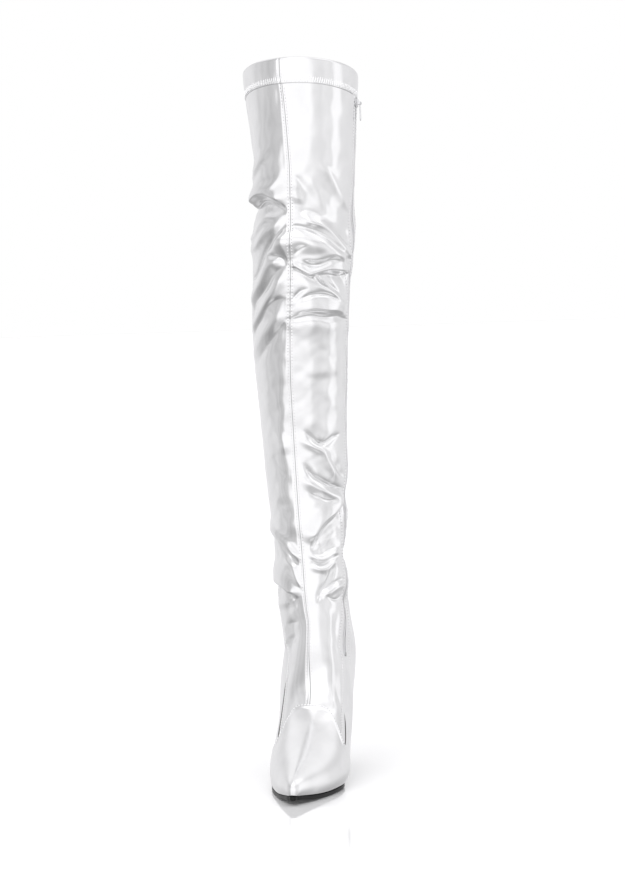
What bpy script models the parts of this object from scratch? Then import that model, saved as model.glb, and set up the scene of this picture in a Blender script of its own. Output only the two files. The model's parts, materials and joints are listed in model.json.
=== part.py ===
"""Thigh-high heeled boot for the right foot, standing empty on its sole.

Metres, +Z up, floor at z = 0. The toe points along -Y and the inner side of the foot is +X.
The sizes and tables below are in millimetres. "ahead" runs forward from the back of the heel
and "up" runs from the floor. A place on the upper is (t, u): t runs along the boot, from the toe
over the instep to the collar, and u runs around it, from -1 on the outer side, through 0 at the
front, to +1 on the inner side. On the shaft -1 and +1 meet at the back; on the foot they are the
edges that the sole closes.
"""
from collections import namedtuple
import math

import bmesh
import bpy
from mathutils import Matrix, Vector
import numpy as np

MM = 0.001

# Driving sizes
FOOT_LENGTH = 240.0
BALL_WIDTH = 84.0
INSTEP_UP = 115.5
HEEL_UP = 92.0
TOE_SPRING = 7.0
WALL = 1.6
GAP = 0.3

# The origin is the middle of the boot's footprint box.
ORIGIN_AHEAD = 109.59
ORIGIN_ACROSS = 2.68

# Sole: the tread is flat on the floor, the arch rises from its back to the heel seat.
SOLE_THICK = 4.5
WAIST_THICK = 3.8
SOLE_RIM = 1.2
SOLE_ROUND = 0.9
TREAD_FRONT = 184.0
TREAD_BACK = 150.0
SEAT_FRONT = 50.0
SEAT_SLOPE = 0.33
INSOLE_THICK = 2.2
INSOLE_MARGIN = 3.7
LIFT_THICK = 5.0

# Overlays on the upper
OVERLAY_LIFT = 0.4
VAMP_THICK = 1.0
VAMP_EDGE_U = 0.9
VAMP_FRONT = 2.0
NOTCH_U = 0.31
SEAM_WIDTH = 8.0
SEAM_THICK = 0.8
HEM_TALL = 27.0
HEM_THICK = 1.2
ZIP_WIDTH = 9.0
ZIP_TAPE_THICK = 0.7
ZIP_COIL_WIDTH = 3.4
ZIP_COIL_UP = 1.6

# Slider and pull tab, in the slider's own frame: across the zip, outward, along the zip
SLIDER_SIZE = (7.5, 2.4, 9.0)
LUG_SIZE = (1.2, 3.2, 3.2)
LUG_APART = 4.8
PIN_RADIUS = 0.6
PIN_OUT = 2.1
PULL_SIZE = (5.0, 1.0, 17.0)
PULL_EYE_RADIUS = 1.7
PULL_EYE_WIDTH = 3.0
PIN_CLEAR = 0.35

# Mesh steps
COLUMNS = 30
FOOT_STEP = 14.0
HEEL_STEP = 8.0
SHAFT_STEP = 31.0

# Foot: ahead in foot lengths, up in instep heights, half widths in ball widths. widest is how far
# down the section its full width lies, and crown above 1 makes its top a ridge.
FootSection = namedtuple(
    "FootSection",
    "name front_ahead front_up edge_ahead outer inner outer_edge inner_edge widest crown")
FOOT = [
    FootSection("nose_edge", 1.001, 0.103, 0.988, 0.043, 0.043, 0.036, 0.036, 0.65, 1.00),
    FootSection("nose", 1.000, 0.173, 0.975, 0.075, 0.075, 0.069, 0.069, 0.71, 1.05),
    FootSection("toe_tip", 0.979, 0.229, 0.950, 0.123, 0.123, 0.112, 0.112, 0.71, 1.12),
    FootSection("toe", 0.917, 0.293, 0.892, 0.226, 0.232, 0.207, 0.212, 0.71, 1.15),
    FootSection("toe_box", 0.825, 0.368, 0.808, 0.345, 0.357, 0.315, 0.325, 0.71, 1.12),
    FootSection("tread", 0.717, 0.468, 0.704, 0.460, 0.469, 0.417, 0.424, 0.70, 1.05),
    FootSection("joint", 0.621, 0.584, 0.613, 0.500, 0.500, 0.452, 0.446, 0.70, 1.00),
    FootSection("vamp", 0.550, 0.710, 0.504, 0.476, 0.469, 0.411, 0.375, 0.66, 1.00),
    FootSection("waist", 0.496, 0.848, 0.392, 0.443, 0.440, 0.355, 0.325, 0.63, 1.00),
    FootSection("instep", 0.458, 1.000, 0.275, 0.437, 0.432, 0.335, 0.325, 0.63, 1.00),
    FootSection("long_heel", 0.433, 1.152, 0.171, 0.434, 0.425, 0.338, 0.342, 0.65, 1.00),
    FootSection("seat", 0.419, 1.281, 0.079, 0.432, 0.422, 0.312, 0.318, 0.67, 1.00),
    FootSection("seat_back", 0.4125, 1.372, 0.023, 0.430, 0.420, 0.196, 0.200, 0.67, 1.00),
    FootSection("heel_point", 0.409, 1.446, 0.000, 0.430, 0.420, 0.000, 0.000, 0.66, 1.00),
]

# Shaft: up at the middle of the section, girth around it, width over depth, how far ahead its back
# is, how much higher its front is than its back, where its full width lies, and its sway to the
# inner side.
ShaftSection = namedtuple("ShaftSection", "name up girth flatness back tilt widest sway")
SHAFT = [
    ShaftSection("counter", 146.5, 306, 0.620, -4.2, 65, 0.64, -1.2),
    ShaftSection("counter_top", 171.0, 287, 0.710, 0.5, 48, 0.60, -3.0),
    ShaftSection("ankle", 199.5, 268, 0.825, 7.5, 33, 0.55, -4.6),
    ShaftSection("neck", 235.0, 256, 0.878, 9.0, 20, 0.51, -6.4),
    ShaftSection("shin", 275.0, 268, 0.873, 2.5, 10, 0.50, -8.0),
    ShaftSection("low_calf", 320.0, 292, 0.886, -6.0, 4, 0.50, -9.0),
    ShaftSection("calf", 375.0, 314, 0.878, -12.5, 0, 0.50, -9.6),
    ShaftSection("high_calf", 430.0, 334, 0.907, -13.5, 0, 0.50, -9.2),
    ShaftSection("under_knee", 490.0, 345, 0.938, -9.0, 0, 0.50, -7.8),
    ShaftSection("knee", 545.0, 352, 0.913, -6.5, 0, 0.50, -5.2),
    ShaftSection("over_knee", 600.0, 361, 0.923, -8.0, 6, 0.50, -2.4),
    ShaftSection("mid_thigh", 660.0, 374, 0.912, -13.0, 14, 0.50, -0.4),
    ShaftSection("thigh", 715.0, 392, 0.892, -18.0, 24, 0.50, 0.8),
    ShaftSection("collar", 765.0, 408, 0.890, -21.0, 30, 0.50, 1.2),
]

# Heel: share of its height, its back and its breast ahead, half width
HeelSection = namedtuple("HeelSection", "share back breast half_width")
HEEL = [
    HeelSection(0.00, 17.0, 37.0, 9.5),
    HeelSection(0.20, 15.5, 37.2, 10.0),
    HeelSection(0.45, 12.5, 38.5, 11.5),
    HeelSection(0.65, 8.0, 40.8, 14.5),
    HeelSection(0.80, 3.6, 44.0, 19.0),
    HeelSection(0.92, 0.3, 47.3, 24.0),
    HeelSection(1.00, -1.0, 49.6, 27.0),
]

# Side seam: the section that it passes, and its place u there
SIDE_SEAM = [
    ("joint", 0.298), ("vamp", 0.327), ("waist", 0.344), ("instep", 0.336), ("long_heel", 0.319),
    ("seat", 0.308), ("seat_back", 0.308), ("heel_point", 0.312), ("counter", 0.331),
    ("counter_top", 0.384), ("ankle", 0.448), ("neck", 0.487), ("shin", 0.5), ("collar", 0.5),
]
FRONT_SEAM = [("vamp", 0.0), ("ankle", -0.02), ("calf", -0.03), ("collar", -0.04)]

# Colours, roughness, metallic
FINISHES = {
    "silver_leather": ((0.80, 0.80, 0.82), 0.22, 0.85),
    "black_sole": ((0.012, 0.012, 0.013), 0.45, 0.0),
    "insole_lining": ((0.55, 0.53, 0.50), 0.80, 0.0),
    "zip_metal": ((0.82, 0.82, 0.83), 0.25, 1.0),
    "zip_tape": ((0.66, 0.66, 0.68), 0.55, 0.3),
}


def clear_scene():
    for thing in list(bpy.data.objects):
        bpy.data.objects.remove(thing, do_unlink=True)


def new_collection(name, hidden=False):
    group = bpy.data.collections.new(name)
    bpy.context.scene.collection.children.link(group)
    group.hide_render = hidden
    return group


def finish_material(name, label):
    """A new Principled material for one object, in one of the boot's finishes."""
    colour, roughness, metallic = FINISHES[name]
    material = bpy.data.materials.new(f"{label}_{name}")
    material.use_nodes = True
    shader = material.node_tree.nodes["Principled BSDF"]
    shader.inputs["Base Color"].default_value = (*colour, 1.0)
    shader.inputs["Roughness"].default_value = roughness
    shader.inputs["Metallic"].default_value = metallic
    return material


def object_from_bmesh(name, shape, group, finish, smooth=True):
    bmesh.ops.recalc_face_normals(shape, faces=shape.faces)
    mesh = bpy.data.meshes.new(name)
    shape.to_mesh(mesh)
    shape.free()
    mesh.polygons.foreach_set("use_smooth", [smooth] * len(mesh.polygons))
    thing = bpy.data.objects.new(name, mesh)
    thing.data.materials.append(finish_material(finish, name))
    group.objects.link(thing)
    return thing


def feather_up(ahead):
    """Height of the upper's lower edge: toe spring, flat tread, rising arch, sloping heel seat."""
    flat = SOLE_THICK + GAP
    spring = np.clip((ahead - TREAD_FRONT) / (FOOT_LENGTH - TREAD_FRONT), 0.0, None)
    run = TREAD_BACK - SEAT_FRONT
    climb = np.clip((TREAD_BACK - ahead) / run, 0.0, 1.0)
    seat_front_up = HEEL_UP - SEAT_SLOPE * SEAT_FRONT
    rise = (seat_front_up - flat) * climb ** 2 * (3 - 2 * climb)
    leaving = climb ** 2 * (climb - 1) * run * SEAT_SLOPE
    seat = SEAT_SLOPE * np.clip(SEAT_FRONT - ahead, 0.0, None)
    return flat + TOE_SPRING * spring ** 2 + rise + leaving + seat


def foot_row(section):
    """front ahead and up, edge ahead and up, half widths, edge half widths, widest, crown, sway."""
    edge_ahead = section.edge_ahead * FOOT_LENGTH
    widths = [BALL_WIDTH * share for share in section[4:8]]
    return [section.front_ahead * FOOT_LENGTH, section.front_up * INSTEP_UP,
            edge_ahead, feather_up(edge_ahead), *widths, section.widest, section.crown, 0.0]


def shaft_row(section):
    """The same columns for a closed ring of the shaft, worked out from its girth."""
    half_depth = section.girth / math.pi / (1 + section.flatness)
    half_width = half_depth * section.flatness
    reach = math.sqrt((2 * half_depth) ** 2 - section.tilt ** 2)
    return [section.back + reach, section.up + section.tilt / 2,
            section.back, section.up - section.tilt / 2,
            half_width, half_width, 0.0, 0.0, section.widest, 1.0, section.sway]


def smooth_through(knots, rows):
    """A function for the natural cubic curve that passes each row of values at its knot."""
    steps = np.diff(knots)
    count = len(knots)
    system = np.eye(count)
    turn = np.zeros_like(rows)
    for i in range(1, count - 1):
        system[i, i - 1:i + 2] = steps[i - 1], 2 * (steps[i - 1] + steps[i]), steps[i]
        turn[i] = 6 * ((rows[i + 1] - rows[i]) / steps[i] - (rows[i] - rows[i - 1]) / steps[i - 1])
    bend = np.linalg.solve(system, turn)

    def at(t):
        i = np.clip(np.searchsorted(knots, t) - 1, 0, count - 2)
        step = steps[i][..., None]
        after = ((t - knots[i]) / steps[i])[..., None]
        before = 1 - after
        curl = (before ** 3 - before) * bend[i] + (after ** 3 - after) * bend[i + 1]
        return before * rows[i] + after * rows[i + 1] + curl * step ** 2 / 6

    return at


ROWS = np.array([foot_row(s) for s in FOOT] + [shaft_row(s) for s in SHAFT])
FRONT_RUN = np.linalg.norm(np.diff(ROWS[:, 0:2], axis=0), axis=1)
BACK_RUN = np.linalg.norm(np.diff(ROWS[:, 2:4], axis=0), axis=1)
KNOTS = np.concatenate([[0.0], np.cumsum((FRONT_RUN + BACK_RUN) / 2)])
PLACE = {s.name: t for s, t in zip(FOOT + SHAFT, KNOTS)}
CURVE = smooth_through(KNOTS, ROWS)
AROUND = np.linspace(-1.0, 1.0, COLUMNS + 1)
COLLAR = PLACE["collar"]
HEM_FOOT = COLLAR - HEM_TALL


def section_at(t):
    """The section's columns at t, with the foot's edge held to the line of the sole."""
    t = np.asarray(t, float)
    row = CURVE(t)
    row[..., 3] = np.where(t < PLACE["heel_point"], feather_up(row[..., 2]), row[..., 3])
    return row


def to_metres(across, ahead, up):
    return np.stack([across - ORIGIN_ACROSS, ORIGIN_AHEAD - ahead, up], axis=-1) * MM


def skin(t, u):
    """Points of the upper's outer face, in metres, for arrays of t and u."""
    t, u = np.broadcast_arrays(np.asarray(t, float), np.asarray(u, float))
    row = section_at(t)
    inner = u > 0
    half = np.where(inner, row[..., 5], row[..., 4])
    edge = np.where(inner, row[..., 7], row[..., 6])
    edge = np.where(t >= PLACE["heel_point"], 0.0, np.clip(edge, 0.0, half))
    end = math.pi - np.arcsin(edge / half)
    share = np.abs(u)
    front = share <= 0.5
    angle = np.where(front, math.pi * share, math.pi / 2 + (end - math.pi / 2) * (2 * share - 1))
    widest = row[..., 8]
    front_down = widest * (1 - np.cos(angle))
    rear_down = widest + (1 - widest) * np.cos(angle) / np.cos(end)
    down = np.where(front, front_down, rear_down)
    crown = np.where(front, row[..., 9], 1.0)
    across = row[..., 10] + np.sign(u) * half * np.clip(np.sin(angle), 0.0, 1.0) ** crown
    ahead = row[..., 0] + (row[..., 2] - row[..., 0]) * down
    up = row[..., 1] + (row[..., 3] - row[..., 1]) * down
    return to_metres(across, ahead, up)


def skin_frame(t, u):
    """The point at (t, u), and square unit vectors around the boot, along it and outward."""
    step_t, step_u = 0.5, 0.004
    point = Vector(skin(t, u))
    around = Vector(skin(t, u + step_u) - skin(t, u - step_u)).normalized()
    along = Vector(skin(t + step_t, u) - skin(t - step_t, u)).normalized()
    outward = around.cross(along).normalized()
    return point, along.cross(outward), along, outward


def upper_rows():
    """Rows of the upper: every section, and evenly between sections by its longer side."""
    rows = []
    for start, stop, run in zip(KNOTS[:-1], KNOTS[1:], np.maximum(FRONT_RUN, BACK_RUN)):
        step = SHAFT_STEP
        if start < PLACE["counter"]:
            step = FOOT_STEP if start < PLACE["seat"] else HEEL_STEP
        rows.append(np.linspace(start, stop, math.ceil(run / step) + 1)[:-1])
    return np.concatenate(rows + [[COLLAR]])


def rows_between(start, stop):
    """The upper's own rows between two places, and the two places."""
    rows = upper_rows()
    inside = rows[(rows > start + 1.0) & (rows < stop - 1.0)]
    return np.concatenate([[start], inside, [stop]])


def sheet_object(name, points, group, finish):
    """An open surface through a grid of points, with its faces outward."""
    shape = bmesh.new()
    verts = [[shape.verts.new(p) for p in row] for row in points]
    for low, high in zip(verts[:-1], verts[1:]):
        for i in range(len(low) - 1):
            shape.faces.new((low[i], low[i + 1], high[i + 1], high[i]))
    bmesh.ops.remove_doubles(shape, verts=shape.verts, dist=0.00002)
    bmesh.ops.dissolve_degenerate(shape, edges=shape.edges, dist=0.00001)
    mesh = bpy.data.meshes.new(name)
    shape.to_mesh(mesh)
    shape.free()
    mesh.polygons.foreach_set("use_smooth", [True] * len(mesh.polygons))
    thing = bpy.data.objects.new(name, mesh)
    mesh.materials.append(finish_material(finish, name))
    group.objects.link(thing)
    return thing


def thicken(thing, thickness, side):
    """Give an open surface its thickness, inward (-1) or outward (+1)."""
    solid = thing.modifiers.new("thickness", "SOLIDIFY")
    solid.thickness = thickness * MM
    solid.offset = side
    solid.use_even_offset = True


def loft_object(name, rings, group, finish, closed_path=False, smooth=True):
    """A solid through rings of points, with its ends closed, or joined up on a closed path."""
    shape = bmesh.new()
    verts = [[shape.verts.new(p) for p in ring] for ring in rings]
    pairs = list(zip(verts[:-1], verts[1:]))
    if closed_path:
        pairs.append((verts[-1], verts[0]))
    for low, high in pairs:
        for i in range(len(low)):
            j = (i + 1) % len(low)
            shape.faces.new((low[i], low[j], high[j], high[i]))
    if not closed_path:
        shape.faces.new(verts[0][::-1])
        shape.faces.new(verts[-1])
    return object_from_bmesh(name, shape, group, finish, smooth)


def make_upper(group):
    points = skin(upper_rows()[:, None], AROUND[None, :])
    upper = sheet_object("upper", points, group, "silver_leather")
    thicken(upper, WALL, -1)
    return upper


def smooth_step(x):
    x = np.clip(x, 0.0, 1.0)
    return x * x * (3 - 2 * x)


def vamp_back(u):
    """Where the vamp ends: an arch over the instep, its feet at the notches on the sides."""
    arch = PLACE["vamp"]
    notch = PLACE["joint"] + 0.15 * (arch - PLACE["joint"])
    return arch + (notch - arch) * smooth_step(np.abs(u) / NOTCH_U)


def lifted(points, t, u, lift):
    """Move grid points outward from the upper by a lift."""
    out = np.array([[skin_frame(a, b)[3] for a, b in zip(*pair)] for pair in zip(t, u)])
    return points + out * lift * MM


def make_vamp(group):
    """The toe piece, on the upper's own rows up to the notches and then up to its arch."""
    around = AROUND[np.abs(AROUND) < VAMP_EDGE_U]
    notch = float(vamp_back(NOTCH_U))
    rows = [np.full(len(around), t) for t in rows_between(VAMP_FRONT, notch)]
    rows += [notch + share * (vamp_back(around) - notch) for share in (0.33, 0.67, 1.0)]
    t = np.array(rows)
    u = np.broadcast_to(around, t.shape)
    vamp = sheet_object("vamp", lifted(skin(t, u), t, u, OVERLAY_LIFT), group, "silver_leather")
    thicken(vamp, VAMP_THICK, 1)
    return vamp


def seam_place(table, t):
    return float(np.interp(t, [PLACE[name] for name, _ in table], [u for _, u in table]))


def band_object(name, places, profile, group, finish):
    """A narrow band along (t, u) places; the profile is (across, lift) pairs around its section."""
    rings = []
    for t, u in places:
        point, around, _, outward = skin_frame(t, u)
        rings.append([point + around * across * MM + outward * lift * MM for across, lift in profile])
    return loft_object(name, rings, group, finish)


def seam_profile(width, thickness):
    half = width / 2
    top = OVERLAY_LIFT + thickness
    return [(-half, OVERLAY_LIFT), (half, OVERLAY_LIFT), (half * 0.7, top), (-half * 0.7, top)]


def make_front_seam(group):
    stops = rows_between(PLACE["vamp"] + 1.5, HEM_FOOT - 1.0)
    places = [(t, seam_place(FRONT_SEAM, t)) for t in stops]
    return band_object("front_seam", places, seam_profile(SEAM_WIDTH, SEAM_THICK), group,
                       "silver_leather")


def zip_foot():
    return PLACE["seat"]


def make_side_seams(group):
    """The raised edge of the front panels, from the vamp's notch: to the hem, and to the zip."""
    start = vamp_back(NOTCH_U) + 6.0
    profile = seam_profile(SEAM_WIDTH, SEAM_THICK)
    for name, side, stop in [("outer_side_seam", -1, HEM_FOOT - 1.0),
                             ("inner_side_seam", 1, zip_foot() - 1.0)]:
        places = [(t, side * seam_place(SIDE_SEAM, t)) for t in rows_between(start, stop)]
        band_object(name, places, profile, group, "silver_leather")


def make_zip(group):
    base = OVERLAY_LIFT
    tape = base + ZIP_TAPE_THICK
    half, coil = ZIP_WIDTH / 2, ZIP_COIL_WIDTH / 2
    profile = [(-half, base), (half, base), (half, tape), (coil, tape),
               (coil * 0.6, base + ZIP_COIL_UP), (-coil * 0.6, base + ZIP_COIL_UP),
               (-coil, tape), (-half, tape)]
    stops = rows_between(zip_foot(), HEM_FOOT - SLIDER_SIZE[2] - 2.0)
    places = [(t, seam_place(SIDE_SEAM, t)) for t in stops]
    return band_object("zip", places, profile, group, "zip_tape")


def make_hem_band(group):
    """The folded hem: outside the wall, over its top edge and down its inside."""
    out_low, out_high = OVERLAY_LIFT, OVERLAY_LIFT + HEM_THICK
    in_low, in_high = -WALL - OVERLAY_LIFT, -WALL - OVERLAY_LIFT - HEM_THICK
    top = OVERLAY_LIFT
    profile = [(-HEM_TALL, out_low), (-HEM_TALL, out_high), (top, out_high),
               (top + HEM_THICK, out_low), (top + HEM_THICK, in_low), (top, in_high),
               (-HEM_TALL, in_high), (-HEM_TALL, in_low), (top, in_low), (top, out_low)]
    rings = []
    for u in AROUND[:-1]:
        point, _, along, outward = skin_frame(COLLAR - 1.0, max(u, -0.9999))
        point = point + along * MM
        rings.append([point + along * rise * MM + outward * lift * MM for rise, lift in profile])
    return loft_object("hem_band", rings, group, "silver_leather", closed_path=True)


def sole_stations(first, last, margin):
    """Rows across the sole between two places t: ahead, outer edge, inner edge, up."""
    rows = []
    nose = section_at(0.0)
    radius = nose[0] - nose[2] + margin
    half = nose[6] + margin
    for degrees in (12, 35, 62):
        turn = math.radians(degrees)
        rows.append((nose[2] + radius * math.cos(turn), half * math.sin(turn),
                     half * math.sin(turn), feather_up(nose[2])))
    for t in rows_between(first, last):
        row = section_at(t)
        rows.append((row[2], row[6] + margin, row[7] + margin, row[3]))
    return rows


def plank_object(name, stations, top, thickness, bevel, group, finish):
    """A thin plate that follows the sole's line: top above the feather edge, thickness(ahead)."""
    rings = []
    for ahead, outer, inner, up in stations:
        high = up + top
        low = high - thickness(ahead)
        trim = min(bevel, outer * 0.3)
        ring = [(-outer, high), (inner, high), (inner, low + bevel), (inner - trim, low),
                (trim - outer, low), (-outer, low + bevel)]
        rings.append([to_metres(x, ahead, z) for x, z in ring])
    return loft_object(name, rings, group, finish, smooth=False)


def breast_place():
    """Where along the boot the sole's edge reaches the heel's breast."""
    t = np.linspace(PLACE["instep"], PLACE["seat"], 400)
    return float(np.interp(-SEAT_FRONT, -section_at(t)[:, 2], t))


def sole_thickness(ahead):
    return float(np.interp(ahead, [110.0, TREAD_BACK], [WAIST_THICK, SOLE_THICK]))


def make_outsole(group):
    stations = sole_stations(0.0, breast_place(), SOLE_RIM)
    return plank_object("outsole", stations, -GAP, sole_thickness, SOLE_ROUND, group, "black_sole")


def make_insole(group):
    stations = sole_stations(PLACE["nose"], PLACE["seat_back"] - 6.0, -INSOLE_MARGIN)[3:]
    return plank_object("insole", stations, INSOLE_THICK + GAP, lambda ahead: INSOLE_THICK, 0.5,
                        group, "insole_lining")


def heel_outline(row, count=28):
    """Plan of the heel at one height: round at the back, squarer at the breast."""
    middle = (row.back + row.breast) / 2
    reach = (row.breast - row.back) / 2
    for i in range(count):
        angle = 2 * math.pi * i / count
        along, across = math.cos(angle), math.sin(angle)
        square = 0.45 if along > 0 else 0.9
        ahead = middle + reach * math.copysign(abs(along) ** square, along)
        yield ahead, row.half_width * math.copysign(abs(across) ** 0.8, across)


def make_heel(group):
    foot = LIFT_THICK + GAP
    rings = []
    for row in HEEL:
        ring = []
        for ahead, across in heel_outline(row):
            seat = feather_up(ahead) - GAP
            ring.append(to_metres(across, ahead, foot + row.share * (seat - foot)))
        rings.append(ring)
    heel = loft_object("heel", rings, group, "silver_leather")
    lift = [[to_metres(across, ahead, up) for ahead, across in heel_outline(HEEL[0])]
            for up in (0.0, LIFT_THICK)]
    lift_thing = loft_object("heel_lift", lift, group, "black_sole", smooth=False)
    return heel, lift_thing


def box_bmesh(shape, size, centre):
    place = Matrix.Translation(Vector(centre) * MM) @ Matrix.Diagonal((*(Vector(size) * MM), 1.0))
    bmesh.ops.create_cube(shape, size=1.0, matrix=place)


def cylinder_bmesh(shape, radius, length, centre):
    """A cylinder lying across the zip."""
    place = Matrix.Translation(Vector(centre) * MM) @ Matrix.Rotation(math.pi / 2, 4, "Y")
    bmesh.ops.create_cone(shape, cap_ends=True, segments=20, radius1=radius * MM, radius2=radius * MM,
                          depth=length * MM, matrix=place)


def tool_object(name, build, group):
    """A piece for a Boolean, drawn as wire and kept out of the render."""
    shape = bmesh.new()
    build(shape)
    mesh = bpy.data.meshes.new(name)
    shape.to_mesh(mesh)
    shape.free()
    tool = bpy.data.objects.new(name, mesh)
    tool.hide_render = True
    tool.display_type = "WIRE"
    group.objects.link(tool)
    return tool


def join_tool(thing, tool, operation):
    tool.parent = thing
    boolean = thing.modifiers.new(tool.name, "BOOLEAN")
    boolean.object = tool
    boolean.operation = operation
    boolean.solver = "EXACT"


def slider_frame():
    """Where the slider sits on the zip's tape: across the zip, outward, along the zip."""
    t = HEM_FOOT - SLIDER_SIZE[2] / 2 - 1.0
    point, around, along, outward = skin_frame(t, seam_place(SIDE_SEAM, t))
    point = point + outward * (OVERLAY_LIFT + GAP) * MM
    turn = Matrix((-around, outward, along)).transposed().to_4x4()
    return Matrix.Translation(point) @ turn


def make_slider(group, cutters):
    shape = bmesh.new()
    box_bmesh(shape, SLIDER_SIZE, (0, SLIDER_SIZE[1] / 2, 0))
    bmesh.ops.bevel(shape, geom=shape.edges, offset=0.6 * MM, segments=2, affect="EDGES")
    slider = object_from_bmesh("zip_slider", shape, group, "zip_metal", smooth=False)
    slider.matrix_world = slider_frame()
    face = SLIDER_SIZE[1]
    for side in (-1, 1):
        centre = (side * LUG_APART / 2, face + LUG_SIZE[1] / 2 - 0.4, 0)
        lug = tool_object(f"lug_{side}", lambda s, c=centre: box_bmesh(s, LUG_SIZE, c), cutters)
        join_tool(slider, lug, "UNION")
    pin = tool_object(
        "pin", lambda s: cylinder_bmesh(s, PIN_RADIUS, LUG_APART + 0.4, (0, face + PIN_OUT, 0)), cutters)
    join_tool(slider, pin, "UNION")
    return slider


def make_pull(group, cutters):
    """The tab, with its origin on the pin, hanging straight down."""
    shape = bmesh.new()
    cylinder_bmesh(shape, PULL_EYE_RADIUS, PULL_EYE_WIDTH, (0, 0, 0))
    pull = object_from_bmesh("zip_pull", shape, group, "zip_metal", smooth=False)
    frame = slider_frame()
    pin = frame @ Vector((0, (SLIDER_SIZE[1] + PIN_OUT) * MM, 0))
    across = frame.col[0].xyz.copy()
    across.z = 0.0
    across.normalize()
    upright = Vector((0, 0, 1))
    turn = Matrix((across, upright.cross(across), upright)).transposed().to_4x4()
    pull.matrix_world = Matrix.Translation(pin) @ turn
    neck = PULL_EYE_RADIUS + 0.6
    tab = tool_object("tab", lambda s: box_bmesh(
        s, PULL_SIZE, (0, 0, -neck - PULL_SIZE[2] / 2)), cutters)
    stem = tool_object("stem", lambda s: box_bmesh(
        s, (PULL_EYE_WIDTH - 0.8, PULL_SIZE[1] + 0.2, neck), (0, 0, -neck / 2 - 1.2)), cutters)
    bore = tool_object("bore", lambda s: cylinder_bmesh(
        s, PIN_RADIUS + PIN_CLEAR, PULL_EYE_WIDTH + 2, (0, 0, 0)), cutters)
    join_tool(pull, stem, "UNION")
    join_tool(pull, tab, "UNION")
    join_tool(pull, bore, "DIFFERENCE")
    return pull


def main():
    clear_scene()
    boot = new_collection("thigh_high_boot")
    cutters = new_collection("thigh_high_boot_cutters", hidden=True)
    make_upper(boot)
    make_outsole(boot)
    make_insole(boot)
    make_heel(boot)
    make_vamp(boot)
    make_front_seam(boot)
    make_side_seams(boot)
    make_hem_band(boot)
    make_zip(boot)
    make_slider(boot, cutters)
    make_pull(boot, cutters)


main()
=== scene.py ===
"""Looks of the thigh-high silver boot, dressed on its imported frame.

Metres, +Z up, floor at z = 0, toe along -Y, inner side of the foot along +X. The sizes and tables
are in millimetres. A place on the boot is (t, u): t runs along it, from the toe over the instep to
the collar, and u runs around it, from -1 on the outer side, through 0 at the front, to +1 on the
inner side. "around" is u as millimetres from the front, and "along" is t.
"""
from collections import namedtuple
import json
import math

import bmesh
import bpy
from mathutils import Matrix, Vector
import numpy as np


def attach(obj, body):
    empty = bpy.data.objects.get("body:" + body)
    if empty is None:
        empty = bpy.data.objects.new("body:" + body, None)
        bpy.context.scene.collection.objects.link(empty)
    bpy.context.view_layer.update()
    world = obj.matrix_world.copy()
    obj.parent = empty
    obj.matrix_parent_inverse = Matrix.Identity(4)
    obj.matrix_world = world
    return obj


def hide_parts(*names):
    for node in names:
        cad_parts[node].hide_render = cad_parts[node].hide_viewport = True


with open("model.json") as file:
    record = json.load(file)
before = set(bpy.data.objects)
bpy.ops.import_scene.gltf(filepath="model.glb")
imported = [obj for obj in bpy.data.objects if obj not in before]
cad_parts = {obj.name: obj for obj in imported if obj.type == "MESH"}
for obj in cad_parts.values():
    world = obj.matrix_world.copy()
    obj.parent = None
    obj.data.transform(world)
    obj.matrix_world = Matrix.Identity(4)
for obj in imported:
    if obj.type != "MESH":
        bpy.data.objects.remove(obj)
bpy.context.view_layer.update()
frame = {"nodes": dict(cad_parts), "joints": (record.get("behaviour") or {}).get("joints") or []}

MM = 0.001

# Sizes that the frame was built from
FOOT_LENGTH = 240.0
BALL_WIDTH = 84.0
INSTEP_UP = 115.5
HEEL_UP = 92.0
TOE_SPRING = 7.0
WALL = 1.6
GAP = 0.3
ORIGIN_AHEAD = 109.59
ORIGIN_ACROSS = 2.68
SOLE_THICK = 4.5
WAIST_THICK = 3.8
SOLE_RIM = 1.2
TREAD_FRONT = 184.0
TREAD_BACK = 150.0
WAIST_AHEAD = 110.0
SEAT_FRONT = 50.0
SEAT_SLOPE = 0.33
LIFT_THICK = 5.0
HEM_TALL = 27.0

# Vamp's back edge: a flat arch over the instep, whose legs drop to a notch at each side
NOTCH_U = 0.34
NOTCH_ALONG = 105.0
ARCH_TOP = 135.0
ARCH_RISE = 2.0
ARCH_CORNER = 0.13
ARCH_LEG = 0.20
ARCH_SHIFT = 0.02

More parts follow.
